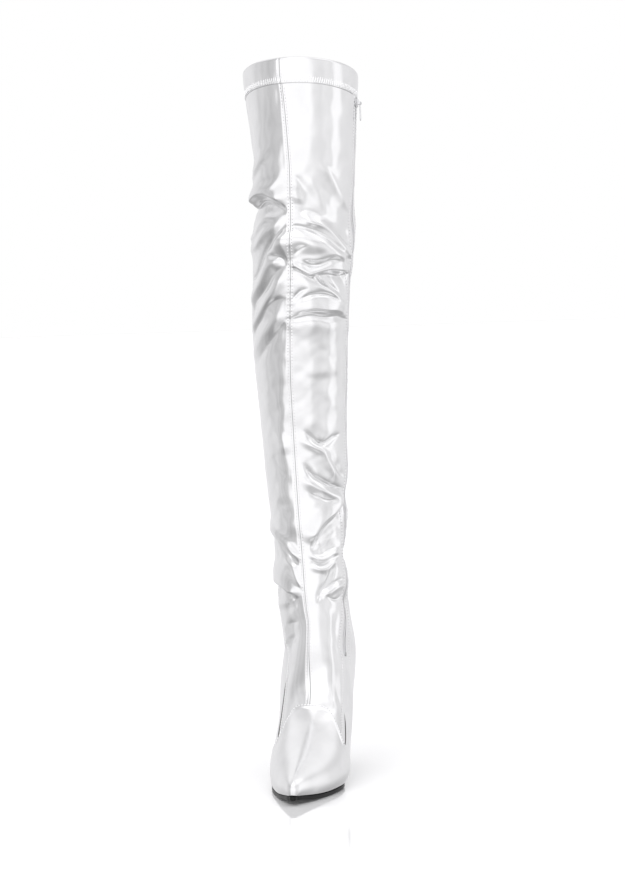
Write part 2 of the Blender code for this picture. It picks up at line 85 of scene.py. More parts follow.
# Foot: ahead in foot lengths, up in instep heights, half widths in ball widths
FootSection = namedtuple(
    "FootSection",
    "name front_ahead front_up edge_ahead outer inner outer_edge inner_edge widest crown")
FOOT = [
    FootSection("nose_edge", 1.001, 0.103, 0.988, 0.043, 0.043, 0.036, 0.036, 0.65, 1.00),
    FootSection("nose", 1.000, 0.173, 0.975, 0.075, 0.075, 0.069, 0.069, 0.71, 1.05),
    FootSection("toe_tip", 0.979, 0.229, 0.950, 0.123, 0.123, 0.112, 0.112, 0.71, 1.06),
    FootSection("toe", 0.917, 0.293, 0.892, 0.226, 0.232, 0.207, 0.212, 0.71, 1.06),
    FootSection("toe_box", 0.825, 0.368, 0.808, 0.330, 0.377, 0.315, 0.325, 0.71, 1.04),
    FootSection("tread", 0.717, 0.468, 0.704, 0.435, 0.499, 0.417, 0.424, 0.70, 1.01),
    FootSection("joint", 0.621, 0.584, 0.613, 0.475, 0.530, 0.452, 0.446, 0.70, 1.00),
    FootSection("vamp", 0.550, 0.710, 0.504, 0.464, 0.483, 0.411, 0.375, 0.66, 1.00),
    FootSection("waist", 0.496, 0.848, 0.392, 0.443, 0.440, 0.355, 0.325, 0.63, 1.00),
    FootSection("instep", 0.458, 1.000, 0.275, 0.437, 0.432, 0.335, 0.325, 0.63, 1.00),
    FootSection("long_heel", 0.433, 1.152, 0.171, 0.434, 0.425, 0.338, 0.342, 0.65, 1.00),
    FootSection("seat", 0.419, 1.281, 0.079, 0.432, 0.422, 0.312, 0.318, 0.67, 1.00),
    FootSection("seat_back", 0.4125, 1.372, 0.023, 0.430, 0.420, 0.196, 0.200, 0.67, 1.00),
    FootSection("heel_point", 0.409, 1.446, 0.000, 0.430, 0.420, 0.000, 0.000, 0.66, 1.00),
]

# Shaft: height, girth, width over depth, how far ahead its back is, how much higher its front is
# than its back, where its full width lies, sway to the inner side
ShaftSection = namedtuple("ShaftSection", "name up girth flatness back tilt widest sway")
SHAFT = [
    ShaftSection("counter", 146.5, 306, 0.620, -4.2, 65, 0.64, -1.2),
    ShaftSection("counter_top", 171.0, 287, 0.710, 0.5, 48, 0.60, -3.0),
    ShaftSection("ankle", 199.5, 268, 0.825, 7.5, 33, 0.55, -4.6),
    ShaftSection("neck", 235.0, 256, 0.878, 9.0, 20, 0.51, -6.4),
    ShaftSection("shin", 275.0, 268, 0.873, 2.5, 10, 0.50, -8.0),
    ShaftSection("low_calf", 320.0, 292, 0.886, -6.0, 4, 0.50, -9.0),
    ShaftSection("calf", 375.0, 314, 0.878, -12.5, 0, 0.50, -9.6),
    ShaftSection("high_calf", 430.0, 334, 0.907, -13.5, 0, 0.50, -9.2),
    ShaftSection("under_knee", 490.0, 345, 0.938, -9.0, 0, 0.50, -7.8),
    ShaftSection("knee", 545.0, 352, 0.913, -6.5, 0, 0.50, -5.2),
    ShaftSection("over_knee", 600.0, 361, 0.923, -8.0, 6, 0.50, -2.4),
    ShaftSection("mid_thigh", 660.0, 374, 0.912, -13.0, 14, 0.50, -0.4),
    ShaftSection("thigh", 715.0, 392, 0.892, -18.0, 24, 0.50, 0.8),
    ShaftSection("collar", 765.0, 408, 0.890, -21.0, 30, 0.50, 1.2),
]

# Heel: share of its height, its back and its breast ahead, half width
HeelSection = namedtuple("HeelSection", "share back breast half_width")
HEEL = [
    HeelSection(0.00, 17.0, 37.0, 9.5),
    HeelSection(0.20, 15.5, 37.2, 10.0),
    HeelSection(0.45, 12.5, 38.5, 11.5),
    HeelSection(0.65, 8.0, 40.8, 14.5),
    HeelSection(0.80, 3.6, 44.0, 19.0),
    HeelSection(0.92, 0.3, 47.3, 24.0),
    HeelSection(1.00, -1.0, 49.6, 27.0),
]

# Seams: the section that each passes, and its place u there
SIDE_SEAM = [
    ("joint", 0.298), ("vamp", 0.327), ("waist", 0.344), ("instep", 0.336), ("long_heel", 0.319),
    ("seat", 0.308), ("seat_back", 0.308), ("heel_point", 0.312), ("counter", 0.331),
    ("counter_top", 0.384), ("ankle", 0.448), ("neck", 0.487), ("shin", 0.5), ("collar", 0.5),
]
INNER_SHIFT = 0.055
INNER_SHIFT_ENDS = (190.0, 260.0)
FRONT_SEAM = [
    ("vamp", 0.0), ("instep", -0.022), ("long_heel", -0.030), ("counter_top", -0.025), ("neck", -0.016),
    ("calf", -0.020), ("high_calf", -0.022), ("knee", -0.006), ("over_knee", -0.006), ("mid_thigh", -0.013),
    ("thigh", -0.033), ("collar", -0.055),
]

# Folds of the leather. The path is (along, around). rise is a ridge, or a trough below
# zero. upper and lower are the half widths of its flanks, left and right of the path. lean slumps it to
# the right, which is downward on a path towards the inner side.
Fold = namedtuple("Fold", "name rise upper lower lean path")
KNEE_OUTER_FOLDS = [
    Fold("flap crest", 1.5, 8, 4, 0, [(748, -76), (757, -35), (763, -18), (770, -6)]),
    Fold("flap lip", 4.8, 11, 4.4, 2.2,
         [(740, -78), (748, -64), (753, -46), (753, -32), (749, -20), (735, -6)]),
    Fold("under flap", -6.4, 2.4, 13, 0,
         [(730, -80), (738, -64), (744, -44), (743, -26), (737, -13), (730, -5)]),
    Fold("pocket foot", 2.6, 4, 5, 0.6, [(700, -90), (713, -54), (719, -45), (726, -30), (730, -8)]),
    Fold("third band", 2.4, 5, 6, 0.5, [(686, -86), (702, -52), (711, -37), (719, -21), (727, -4)]),
    Fold("third crease", -3.2, 5, 3.5, 0,
         [(660, -76), (676, -45), (689, -36), (699, -28), (711, -15), (720, -4)]),
    Fold("lobe edge", 3.0, 3, 8, 0, [(687, -28), (692, -25), (700, -20), (709, -11), (715, -1)]),
    Fold("under lobe", -3.6, 2.5, 5, 0, [(690, -34), (688, -24), (688, -15), (684, -8), (676, -3)]),
    Fold("fourth band", 2.9, 6, 7, 0.6, [(632, -76), (659, -47), (673, -35), (683, -22), (688, -6)]),
    Fold("fourth crease", -2.3, 6, 5, 0, [(618, -76), (641, -50), (655, -34), (670, -19), (680, -4)]),
    Fold("fifth band", 2.6, 6, 7, 0.5, [(604, -72), (631, -41), (647, -26), (660, -17), (672, -3)]),
    Fold("fifth crease", -1.8, 6, 6, 0, [(596, -70), (620, -43), (637, -27), (641, -17), (645, -5)]),
    Fold("sixth band", 1.8, 7, 9, 0, [(572, -76), (595, -50), (607, -38), (619, -22), (632, -6)]),
    Fold("sixth crease", -1.2, 6, 7, 0, [(568, -58), (590, -34), (600, -24), (611, -15), (621, -4)]),
    Fold("thigh band", 1.8, 8, 4, 0, [(752, -94), (772, -58), (800, -28)]),
]
KNEE_INNER_FOLDS = [
    Fold("ring crease", -1.3, 4, 4, 0, [(770, 1), (762, 10), (750, 15)]),
    Fold("ring", 1.8, 7, 7, 0, [(758, 1), (748, 6), (737, 5)]),
    Fold("brow", 3.2, 7, 3.5, 1.0, [(733, 9), (724, 19), (718, 34), (709, 49), (697, 63), (680, 92)]),
    Fold("over brow", -1.6, 6, 3, 0, [(726, 24), (717, 46), (705, 65), (686, 94)]),
    Fold("arch crease", -3.4, 3, 4.5, 0,
         [(712, -8), (716, 2), (716, 12), (714, 23), (709, 33), (700, 46), (686, 66)]),
    Fold("dome", 7.0, 12, 13, 0, [(692, -24), (702, -2), (701, 17), (695, 38), (682, 76)]),
    Fold("lens end", -2.0, 3, 3, 0, [(686, 2), (693, 8), (698, 18)]),
    Fold("lens", -2.4, 4, 2.5, 0, [(681, 7), (677, 22), (679, 36), (683, 54)]),
    Fold("lens rim", 1.6, 4, 2.5, 0.6, [(682, 4), (684, 20), (685, 35), (687, 47), (679, 66)]),
    Fold("dome lip", 4.6, 5, 3, 2.0, [(680, -3), (674, 11), (670, 22), (673, 32), (673, 50), (677, 88)]),
    Fold("under dome", -7.4, 3.0, 15, 0, [(671, 22), (667, 40), (665, 58), (667, 90)]),
    Fold("pocket edge", -3.8, 6, 3, 0, [(671, 27), (664, 37), (655, 49), (641, 69)]),
    Fold("roll back", 2.8, 3, 6, 0.5, [(665, 23), (656, 36), (648, 49), (639, 60), (627, 80)]),
    Fold("seam crease", -2.6, 2.5, 4, 0, [(677, 0), (670, 11), (664, 21), (656, 34)]),
    Fold("roll end", -2.2, 3, 3, 0, [(641, -1), (648, 7), (653, 19)]),
    Fold("roll crease", -2.8, 3, 2.5, 0, [(634, 4), (642, 13), (645, 21), (647, 33), (643, 48), (633, 64)]),
    Fold("roll lip", 3.0, 12, 3.4, 1.2, [(628, 1), (631, 19), (632, 36), (629, 52), (620, 78)]),
    Fold("knee foot", -2.6, 2.6, 9, 0, [(620, -10), (622, 11), (622, 34), (617, 84)]),
    Fold("under knee", 1.4, 4, 10, 0, [(615, -10), (616, 16), (614, 40), (611, 80)]),
    Fold("thigh streak", 1.4, 4, 5, 0, [(786, 30), (763, 50), (749, 64), (730, 88)]),
    Fold("inner streak", 1.3, 5, 6, 0, [(770, 10), (758, 26), (745, 34), (724, 44)]),
]
SHIN_FOLDS = [
    Fold("upper shin", 0.7, 7, 5, 0, [(563, 8), (560, 34), (567, 66)]),
    Fold("upper shin crease", -0.6, 9, 12, 0, [(555, 16), (554, 40), (558, 68)]),
    Fold("second crease", -3.6, 4.4, 2.2, 0,
         [(500, 7), (490, 18), (484, 26), (483, 33), (485, 42), (494, 60)]),
    Fold("second roll", 2.6, 4, 5, 0.5,
         [(489, 2), (483, 14), (479, 23), (475, 30), (465, 36), (453, 42), (438, 54)]),
    Fold("second pocket", -2.4, 6, 3, 0, [(478, 31), (463, 40), (452, 49), (436, 68)]),
    Fold("third crease", -4.2, 4.0, 2.2, 0,
         [(464, 5), (452, 12), (445, 18), (440, 27), (436, 37), (428, 64)]),
    Fold("third roll", 2.6, 4, 6, 0.5, [(449, 2), (437, 15), (430, 27), (425, 41), (416, 66)]),
    Fold("fourth crease", -2.2, 3, 3, 0, [(434, 8), (425, 14), (422, 21), (419, 28), (422, 46)]),
    Fold("diagonal roll", 3.8, 9, 5, 1.8, [(366, 2), (375, 9), (384, 16), (397, 29), (409, 44), (424, 62)]),
    Fold("diagonal crease", -7.2, 3, 18, 0,
         [(355, 9), (363, 13), (376, 23), (389, 38), (401, 53), (416, 72)]),
    Fold("shin pocket", -2.6, 10, 4, 0, [(360, 8), (353, 20), (360, 36), (370, 52)]),
    Fold("small flap", 1.4, 3, 6, 0.6, [(366, 26), (376, 36), (390, 56)]),
    Fold("ankle lip", 2.0, 3.4, 3, 0.6, [(356, 4), (348, 18), (354, 36), (364, 52)]),
    Fold("under ankle lip", -3.2, 2.4, 4, 0, [(349, 2), (342, 17), (347, 34), (356, 50)]),
    Fold("low lip", 2.0, 3, 5, 0.5, [(341, 0), (335, 16), (342, 34), (352, 50)]),
    Fold("ankle crease", -2.8, 3, 6, 0, [(280, 10), (301, 17), (312, 23), (327, 30), (348, 42)]),
    Fold("low ridge", 2.0, 4, 4, 0, [(294, 16), (309, 34), (326, 62)]),
    Fold("low crease", -1.8, 4, 3, 0, [(301, 16), (314, 31), (330, 54)]),
    Fold("last crease", -1.6, 3, 3, 0, [(301, 20), (296, 34), (314, 54)]),
    Fold("outer bump", 1.5, 6, 7, 0, [(500, -22), (487, -17), (470, -14)]),
    Fold("outer dent, upper", -1.0, 8, 10, 0, [(474, -34), (456, -24), (438, -13)]),
    Fold("outer bump, lower", 0.9, 8, 7, 0, [(446, -30), (428, -22), (412, -16)]),
    Fold("outer dent, lower", -1.0, 8, 9, 0, [(424, -30), (406, -18), (392, -9)]),
    Fold("shin crest", 1.2, 12, 11, 0, [(596, -10), (540, -14), (480, -17), (430, -13), (372, -12)]),
]
ANKLE_FOLDS = [
    Fold("first band", 4.0, 4, 3.2, 1.8,
         [(402, -80), (384, -47), (373, -28), (364, -17), (354, -11), (340, -5)]),
    Fold("first crease", -4.2, 2.6, 6, 0, [(388, -76), (367, -35), (357, -23), (347, -15), (338, -9)]),
    Fold("side crease", -3.0, 3, 4, 0, [(378, -66), (361, -47), (344, -37)]),
    Fold("flap edge", 2.6, 3, 4, 0.8, [(352, -31), (336, -14), (324, -10), (303, -5)]),
    Fold("flap lip", 5.6, 9, 3.4, 3.0,
         [(350, -74), (340, -57), (327, -45), (315, -29), (305, -21), (292, -14)]),
    Fold("under flap", -6.0, 2.8, 9, 0,
         [(332, -76), (324, -58), (313, -42), (302, -30), (290, -22), (276, -17)]),
    Fold("heel band", 1.4, 4, 6, 0, [(305, -78), (297, -45), (286, -16)]),
    Fold("dent, upper", -1.5, 5, 5, 0, [(268, -44), (259, -31), (252, -20)]),
    Fold("dent, lower", -1.4, 5, 5, 0, [(250, -48), (242, -30), (236, -15)]),
    Fold("instep crest", 1.4, 6, 6, 0, [(136, 21), (171, 16), (227, 22), (283, 30)]),
]
BACK_FOLDS = [
    Fold("knee back 1", 2.0, 13, 9, 0.3, [(728, 92), (713, 126), (701, 160), (702, 196), (718, 240)]),
    Fold("knee back 1 crease", -1.3, 6, 9, 0, [(713, 100), (699, 130), (688, 163), (689, 196), (704, 232)]),
    Fold("knee back 2", 2.3, 13, 9, 0.3, [(664, 90), (672, 120), (663, 160), (668, 205), (690, 254)]),
    Fold("knee back 2 crease", -1.5, 6, 9, 0, [(653, 98), (659, 124), (650, 162), (655, 202), (676, 246)]),
    Fold("knee back 3", 1.3, 12, 10, 0.2, [(648, 100), (632, 138), (627, 180)]),
    Fold("knee back 4", 1.0, 12, 10, 0.2, [(630, 190), (634, 222), (652, 256)]),
    Fold("over knee back", 0.9, 14, 12, 0, [(770, 108), (752, 146), (746, 190)]),
    Fold("ankle back 1", 1.9, 12, 8, 0.4, [(356, 66), (340, 98), (328, 132), (340, 174)]),
    Fold("ankle back 1 crease", -1.4, 5, 9, 0, [(344, 72), (328, 100), (316, 132), (328, 168)]),
    Fold("ankle back 2", 1.4, 11, 8, 0.2, [(396, 80), (378, 108), (366, 144)]),
    Fold("calf back", 1.2, 12, 9, 0, [(456, 92), (440, 130), (436, 164)]),
]
BROAD_FORMS = [
    Fold("zip bulge, upper", 0.8, 20, 17, 0, [(454, 50), (452, 72), (452, 100)]),
    Fold("zip dent, upper", -2.2, 13, 13, 0, [(424, 50), (422, 72), (424, 98)]),
    Fold("zip bulge, middle", 2.6, 18, 16, 0, [(396, 56), (396, 76), (396, 104)]),
    Fold("zip dent, middle", -3.6, 12, 10, 0, [(358, 48), (356, 68), (360, 96)]),
    Fold("zip bulge, lower", 1.6, 11, 10, 0, [(330, 42), (328, 58), (332, 84)]),
    Fold("zip dent, lower", -2.2, 9, 9, 0, [(306, 44), (304, 60), (308, 84)]),
    Fold("outer knee", -9.5, 70, 66, 0, [(745, -130), (745, -96), (742, -58)]),
    Fold("over knee hollow", -4.6, 34, 12, 0, [(742, -2), (736, 24), (722, 56), (706, 92)]),
    Fold("inner knee", 2.4, 26, 26, 0, [(704, 64), (704, 90), (704, 116)]),
    Fold("inner calf", -3.4, 66, 100, 0, [(572, 54), (572, 84), (572, 116)]),
    Fold("inner ankle", -3.4, 36, 34, 0, [(300, 40), (300, 62), (300, 92)]),
    Fold("inner waist", 4.6, 44, 36, 0, [(160, 30), (160, 54), (160, 84)]),
    Fold("outer waist", 6.4, 76, 60, 0, [(214, -84), (214, -58), (214, -30)]),
]
FOLDS = KNEE_OUTER_FOLDS + KNEE_INNER_FOLDS + SHIN_FOLDS + ANKLE_FOLDS + BACK_FOLDS

# Points on a fold's line, how it fades at its ends, and its reach in widths of its wider flank
FOLD_POINTS = 72
FOLD_FADE = 18.0
FOLD_FADE_SHARE = 0.4
FOLD_REACH = 3.6
# A trough whose upper flank is no wider than BROAD is a crease, sharp but for a softened bottom
BROAD = 8.0
CREASE_SOFTNESS = 0.22
CREASE_STEEPNESS = 1.6
# A fold that passes BACK_AROUND goes on behind the boot to the outer side
BACK_AROUND = 120.0
FAR_AWAY = 1e6
# Folds wander: by how much, and over which lengths across the way and along it
WANDER = 0.9
WANDER_ALONG = (6.0, 31.0)
WANDER_AROUND = (7.0, 23.0)
# Share of a fold that a side seam holds back, how far that reaches, and the calm stretch under the hem
SEWN_HOLD = 0.6
SEWN_REACH = 9.0
CALM_RUN = 22.0

# Slow waves of the whole leather: height, wave length along, wave length around, start
WAVES = [
    (0.10, 190.0, 41.0, 0.4), (0.08, -140.0, 33.0, 1.9), (0.06, 230.0, -27.0, 3.1), (0.05, 71.0, 52.0, 5.2),
    (0.03, -48.0, 37.0, 2.4), (0.06, 44.0, 22.0, 1.2), (0.05, -31.0, 18.0, 3.7), (0.03, 21.0, -25.0, 0.2),
]
TIGHT_BELOW = 230.0
LOOSE_ABOVE = 330.0
TIGHT_SHARE = 0.2
WAVE_FREE_OF_SEAM = 12.0

# Crumpled stretches: where they start and end along the boot, and how deep the crumple is
CRUMPLED = [(596.0, 780.0, 0.45), (276.0, 452.0, 0.40), (420.0, 630.0, 0.60), (750.0, 870.0, 0.22)]
CRUMPLE_FADE = 40.0
# Its waves: share, wave length along, wave length around, start
CRUMPLE_WAVES = [
    (0.40, 34.0, 61.0, 0.7), (0.30, -27.0, 43.0, 2.2), (0.22, 19.0, 37.0, 4.1), (0.16, -15.0, 24.0, 1.1),
]
CRUMPLE_SOFTNESS = 0.12
CRUMPLE_LEVEL = 0.7
# What bends them: size, length and start
BEND_ACROSS = (3.0, 9.0, 1.3)
BEND_SLANTED = (2.0, 7.0)
BEND_ALONG = (3.0, 10.0, 0.4)

# Puckers along sewn lines: share of the lift, reach from the line, step, and how the step wanders
Pucker = namedtuple("Pucker", "share reach step wander")
PUCKER_LIFT = 0.26
ZIP_PUCKER = Pucker(0.65, 5.0, 9.0, (1.6, 23.0))
HEM_PUCKER = Pucker(0.80, 7.0, 12.0, (1.2, 17.0))
SEAM_PUCKER = Pucker(0.40, 4.5, 6.5, (1.7, 19.0))
# Those of the zip drift and swell slowly: size and length of each
ZIP_DRIFT = (2.4, 51.0)
ZIP_SWELL = (0.45, 29.0)
ZIP_SWELL_AROUND = 3.0
HEM_PUCKER_BELOW = 3.0
SEAM_PUCKER_ENDS = (600.0, 790.0)
PUCKER_FADE = 30.0

# Edges of the panels: how far the sewn edge stands up, how wide that is, where its stitches run
Edge = namedtuple("Edge", "raised band stitch")
FRONT_EDGE = Edge(0.22, 3.6, 2.2)
SIDE_EDGE = Edge(1.00, 4.6, 3.0)
ZIP_EDGE = Edge(0.80, 6.6, 5.6)
UNDER_EDGE = Edge(0.0, 3.0, 2.0)
ARCH_EDGE = Edge(0.75, 4.2, 2.4)
FOOT_EDGE = Edge(0.95, 5.0, 3.0)
# How far an edge dips where it is cut, how round it is, and the dent along its stitches
EDGE_DIP = 0.3
EDGE_RADIUS = 0.7
STITCH_DENT = 0.14
DENT_REACH = 0.8
STITCH_SINK = 0.6 * STITCH_DENT

# Panels: how far they rest off the skin, their wall, and how they tuck under and lap over each other
PANEL_REST = 0.3
VAMP_REST = 0.9
FRONT_WALL = 1.2
TUCK = 6.0
ARCH_RUN = 140.0
FOOT_LAP = 4.0
FOOT_LAP_ENDS = {-1: (176.0, 226.0), 1: (136.0, 168.0)}
# Painted shade: below this height the quarter's cut edge is near black, the dark of the slit under the front
# panels
SLIT_SHADE_TOP = 132.0
VAMP_LAP_PAST_NOTCH = 0.02
VAMP_LAP_FADE = 0.10
FEATHER_FADE = 0.10
FEATHER_REST = 0.35
INSIDE_SLOT = 1
# Slot of the cut edge's painted slit shade
SLIT_SHADE_SLOT = 2

# Points of the panels: distances from an edge, then where each stretch of rows ends and its step
EDGE_COLUMNS = np.array([0.0, 0.08, 0.22, 0.45, 0.8, 1.3, 1.9, 2.5, 3.1, 3.8, 4.8, 6.0, 7.4, 9.0])
ROW_STEPS = [(272.0, 2.0), (500.0, 0.9), (600.0, 1.5), (780.0, 0.8), (1000.0, 1.8)]
PANEL_COLUMNS = 28
QUARTER_COLUMNS = 32
QUARTER_COARSER = 1.5
VAMP_ROWS = 110
VAMP_COLUMNS = 150
VAMP_CROWDING = 1.2
GIRTH_POINTS = 181
WELD = 0.02

# Hem: rise above the collar's edge and lift from the skin, round the folded band
HEM_PROFILE = [
    (-26.6, 0.2), (-27.0, 0.45), (-26.6, 0.72), (-24.8, 0.92), (-22.4, 1.05), (-19.0, 1.2), (-13.0, 1.5),
    (-7.0, 1.7), (-2.5, 1.6), (0.6, 1.0), (1.4, -0.6), (0.6, -2.2), (-3.0, -3.1), (-12.0, -3.2),
    (-22.0, -3.1), (-25.6, -2.9), (-26.4, -2.2), (-25.4, -1.7),
]
HEM_COLUMNS = 420
HEM_ROUND = 64
COLLAR_INSET = 0.8
# How near the back line, in u, the directions of the band and of its stitches are taken
HEM_BACK = 0.9999
ZIGZAG_BACK = 0.999
# Its small gathers, and the groove where the front seam crosses its face
HEM_GATHER_STEP = 13.0
HEM_GATHER_WANDER = (1.0, 21.0)
HEM_GATHER_LIFT = 0.10
HEM_GATHER_AT = -20.5
HEM_GATHER_REACH = 6.0
HEM_SEAM_DEEP = 0.45
HEM_SEAM_HALF = 0.55
HEM_FACE = 0.9

# Sole's section: share of the half width, share of the thickness from the top, inset from the rim
SOLE_PROFILE = [
    (1.0, 0.0, 1.6), (1.0, 0.03, 0.5), (1.0, 0.10, 0.05), (1.0, 0.24, 0.0), (1.0, 0.30, 0.28),
    (1.0, 0.36, 0.28), (1.0, 0.42, 0.0), (1.0, 0.70, 0.0), (1.0, 0.86, 0.25), (1.0, 0.96, 0.75),
    (1.0, 1.0, 1.5), (0.8, 1.0, 0.0), (0.55, 1.0, 0.0), (0.3, 1.0, 0.0),
]
SOLE_ROWS = 150
# Limits of the section at the narrow tip: inset in half widths, least half width
INSET_LIMIT = 0.4
SOLE_LEAST = 0.05
TIP_TURNS = np.radians(np.linspace(6, 84, 9))
BREAST_POINTS = 400

# Heel: how square its plan is at the breast, the back and the sides, and the lift's size and height
BREAST_SQUARE = 0.45
BACK_SQUARE = 0.9
SIDE_SQUARE = 0.8
HEEL_ROWS = 60
HEEL_ROUND = 96
LIFT_PROFILE = [(0.94, 0.0), (0.985, 0.12), (1.0, 0.5), (1.0, 4.5), (0.985, 4.88), (0.95, 5.0)]

# Zip: the gap between its edges, its tapes and its teeth
ZIP_HALF_GAP = 2.7
ZIP_OPENS_BELOW = 4.0
ZIP_OPENING_RUN = 14.0
TAPE_HALF = 6.0
TAPE_BELOW_FOOT = 4.0
TAPE_UNDER_HEM = 3.0
TAPE_LIFT = -0.45
TAPE_RIDGE = 0.25
TAPE_RIDGE_REACH = 1.6
TAPE_THICK = 0.5
TAPE_ROWS = 420
TAPE_COLUMNS = 17
TOOTH_STEP = 1.7
TOOTH_OFF = 0.55
TOOTH_LIFT = 0.15
TOOTH_SIZE = (2.3, 0.62, 0.95)
TEETH_ABOVE_FOOT = 4.0

# Slider: outline of its plates across and along the zip, then each plate's middle and thickness
SLIDER_LONG = 9.0
SLIDER_UNDER_HEM = 1.0
SLIDER_LIFT = 0.7
SLIDER_OUTLINE = [
    (3.7, 4.4), (3.1, 4.4), (-3.1, 4.4), (-3.7, 4.4), (-3.75, 2.0), (-2.9, -3.2), (-2.4, -4.4),
    (2.4, -4.4), (2.9, -3.2), (3.75, 2.0),
]
SLIDER_PLATES = [(0.45, 0.8), (1.85, 0.9)]
SLIDER_BEVEL = 0.5
# Lugs: outline, then how far out and how large each ring is; pin: how far out, and its ends
LUG_ACROSS = 2.4
LUG_OUTLINE = (0.55, -1.7, 1.7, 0.5)
LUG_RINGS = [(1.9, 1.0), (3.6, 1.0), (4.6, 0.82), (5.1, 0.45)]
PIN_OUT = 4.5
PIN_RADIUS = 0.6
PIN_ROUND = 16
PIN_ACROSS = (-2.9, -2.6, 2.6, 2.9)

# Round-cornered plates of slider and pull: half width, lower and upper end, corner, thickness, bevel,
# and how far out the plate's middle is
Plate = namedtuple("Plate", "half_width low high corner thick bevel out")
SLIDER_BRIDGE = Plate(1.0, 0.6, 3.9, 0.6, 1.6, 0.2, 1.15)
PULL_TAB = Plate(2.4, -19.0, -2.4, 1.9, 1.0, 0.45, 0.0)
PULL_STEM = Plate(1.0, -3.2, -1.2, 0.4, 1.1, 0.3, 0.0)
PULL_RIB = Plate(1.2, -17.2, -4.8, 1.0, 1.35, 0.4, 0.0)
CORNER_POINTS = 6
# A plate's bevel: share of it that each ring is drawn in by, and that ring's share of the thickness
BEVEL_RINGS = [(1.0, -0.5), (0.35, -0.5), (0.0, -0.32), (0.0, 0.32), (0.35, 0.5), (1.0, 0.5)]
# The pull's eye: radius to the middle of its wire, and that wire's half thickness and half width
EYE_RADIUS = 1.642
EYE_WIRE = 0.54
EYE_HALF_WIDTH = 0.702
EYE_ROUND = 28
EYE_WIRE_ROUND = 12

# Stitches: length, width and height, then their pitch and where a row starts in it
STITCH_SIZE = (2.5, 0.8, 0.64)
STITCH_PITCH = 3.4
STITCH_START = 0.5
# Beads of painted shade in the needle holes: size, and where their row starts in the pitch
HOLE_SIZE = (0.9, 0.8, 0.5)
HOLE_START = 1.0
# Points on the lines of the rows, and how far the rows start and end from the pieces there
SEAM_POINTS = 900
ZIP_SEAM_POINTS = 800
ARCH_POINTS = 300
SIDE_ROW_ABOVE_NOTCH = 8.0
ZIP_ROW_ABOVE_FOOT = 2.0
ROW_END = 1.0
# The hem's slanted stitches, and the front seam's rows over the hem
ZIGZAG_TALL = 7.2
ZIGZAG_SLANT = 1.9
ZIGZAG_SIZE = (math.hypot(ZIGZAG_SLANT, ZIGZAG_TALL), 0.9, 0.7)
ZIGZAG_STEP = 2.7
ZIGZAG_UP = 4.6
ZIGZAG_LIFT = 1.15
HEM_ROW_START = 9.0
HEM_ROW_END = 2.0
HEM_ROW_LIFT = 1.6

# Leather grain: pebbles, dimples and mottles to a metre, stretch of the wrinkles, span of the mottle
PEBBLES = 1100.0
DIMPLES = 160.0
MOTTLES = 38.0
WRINKLE_STRETCH = (60.0, 60.0, 170.0)
MOTTLE_SPAN = (0.3, 0.7)

# Camera, from the photograph's outline: degrees, then metres from the boot's middle and above the
# floor, then its lens
CAMERA_TURN = 10.57
CAMERA_PITCH = 4.40
CAMERA_ROLL = -2.18
CAMERA_AWAY = 2.79
CAMERA_UP = 0.584
CAMERA_LENS = 104.54
CAMERA_SENSOR = 36.0
CAMERA_SIGHT = 60.0
BOOT_MIDDLE = (-0.00268, 0.05956)

# Floor, then the soft lights: name, power, degrees tipped from overhead, degrees turned to one side
FLOOR_REACH = 14.0
FLOOR_GLOSS = 0.5
FLOOR_BLUR = 0.07
LIGHTS = [("overhead", 1.0, 12, 0), ("front_fill", 1.5, 62, -14)]
LIGHT_SPREAD = 70

# Studio walls: bearing in degrees, 0 behind the camera and rising to the picture's right, brightness
STUDIO_WALLS = [
    (-180, 0.86), (-130, 0.85), (-112, 0.81), (-102, 0.68), (-93, 0.76), (-84, 0.62), (-76, 0.71),
    (-68, 0.57), (-60, 0.67), (-54, 0.60), (-44, 1.14), (22, 1.14), (34, 0.92), (48, 0.86), (61, 0.95),
    (72, 0.87), (79, 1.12), (91, 1.12), (100, 0.86), (140, 0.82), (180, 0.86),
]
# and their change with height: sine of the height angle, share of that brightness
STUDIO_HEIGHTS = [
    (-1.0, 0.92), (-0.90, 0.82), (-0.78, 0.50), (-0.66, 0.54), (-0.52, 0.63), (-0.40, 0.74), (-0.28, 0.87),
    (-0.18, 0.98), (-0.12, 1.0), (0.18, 1.0), (0.30, 0.95), (0.43, 0.88), (0.53, 0.95), (0.64, 1.16),
    (0.80, 1.18), (1.0, 1.04),
]
STUDIO_TINT = (0.999, 0.997, 1.003)
# Colour sockets of a mix node
MIX_FIRST = 6
MIX_SECOND = 7
MIX_RESULT = 2

# Columns of a section's row: its front, its edge, half widths of both, and its shape
(FRONT_AHEAD, FRONT_UP, EDGE_AHEAD, EDGE_UP, OUTER, INNER, OUTER_EDGE, INNER_EDGE,
 WIDEST, CROWN, SWAY) = range(11)


def feather_up(ahead):
    """Height of the upper's lower edge: toe spring, flat tread, rising arch, sloping heel seat."""
    flat = SOLE_THICK + GAP
    spring = np.clip((ahead - TREAD_FRONT) / (FOOT_LENGTH - TREAD_FRONT), 0.0, None)
    run = TREAD_BACK - SEAT_FRONT
    climb = np.clip((TREAD_BACK - ahead) / run, 0.0, 1.0)
    seat_front_up = HEEL_UP - SEAT_SLOPE * SEAT_FRONT
    rise = (seat_front_up - flat) * climb ** 2 * (3 - 2 * climb)
    leaving = climb ** 2 * (climb - 1) * run * SEAT_SLOPE
    seat = SEAT_SLOPE * np.clip(SEAT_FRONT - ahead, 0.0, None)
    return flat + TOE_SPRING * spring ** 2 + rise + leaving + seat


def foot_row(section):
    """The columns of a section of the foot, in millimetres."""
    edge_ahead = section.edge_ahead * FOOT_LENGTH
    shares = (section.outer, section.inner, section.outer_edge, section.inner_edge)
    return [section.front_ahead * FOOT_LENGTH, section.front_up * INSTEP_UP,
            edge_ahead, feather_up(edge_ahead), *(BALL_WIDTH * share for share in shares),
            section.widest, section.crown, 0.0]


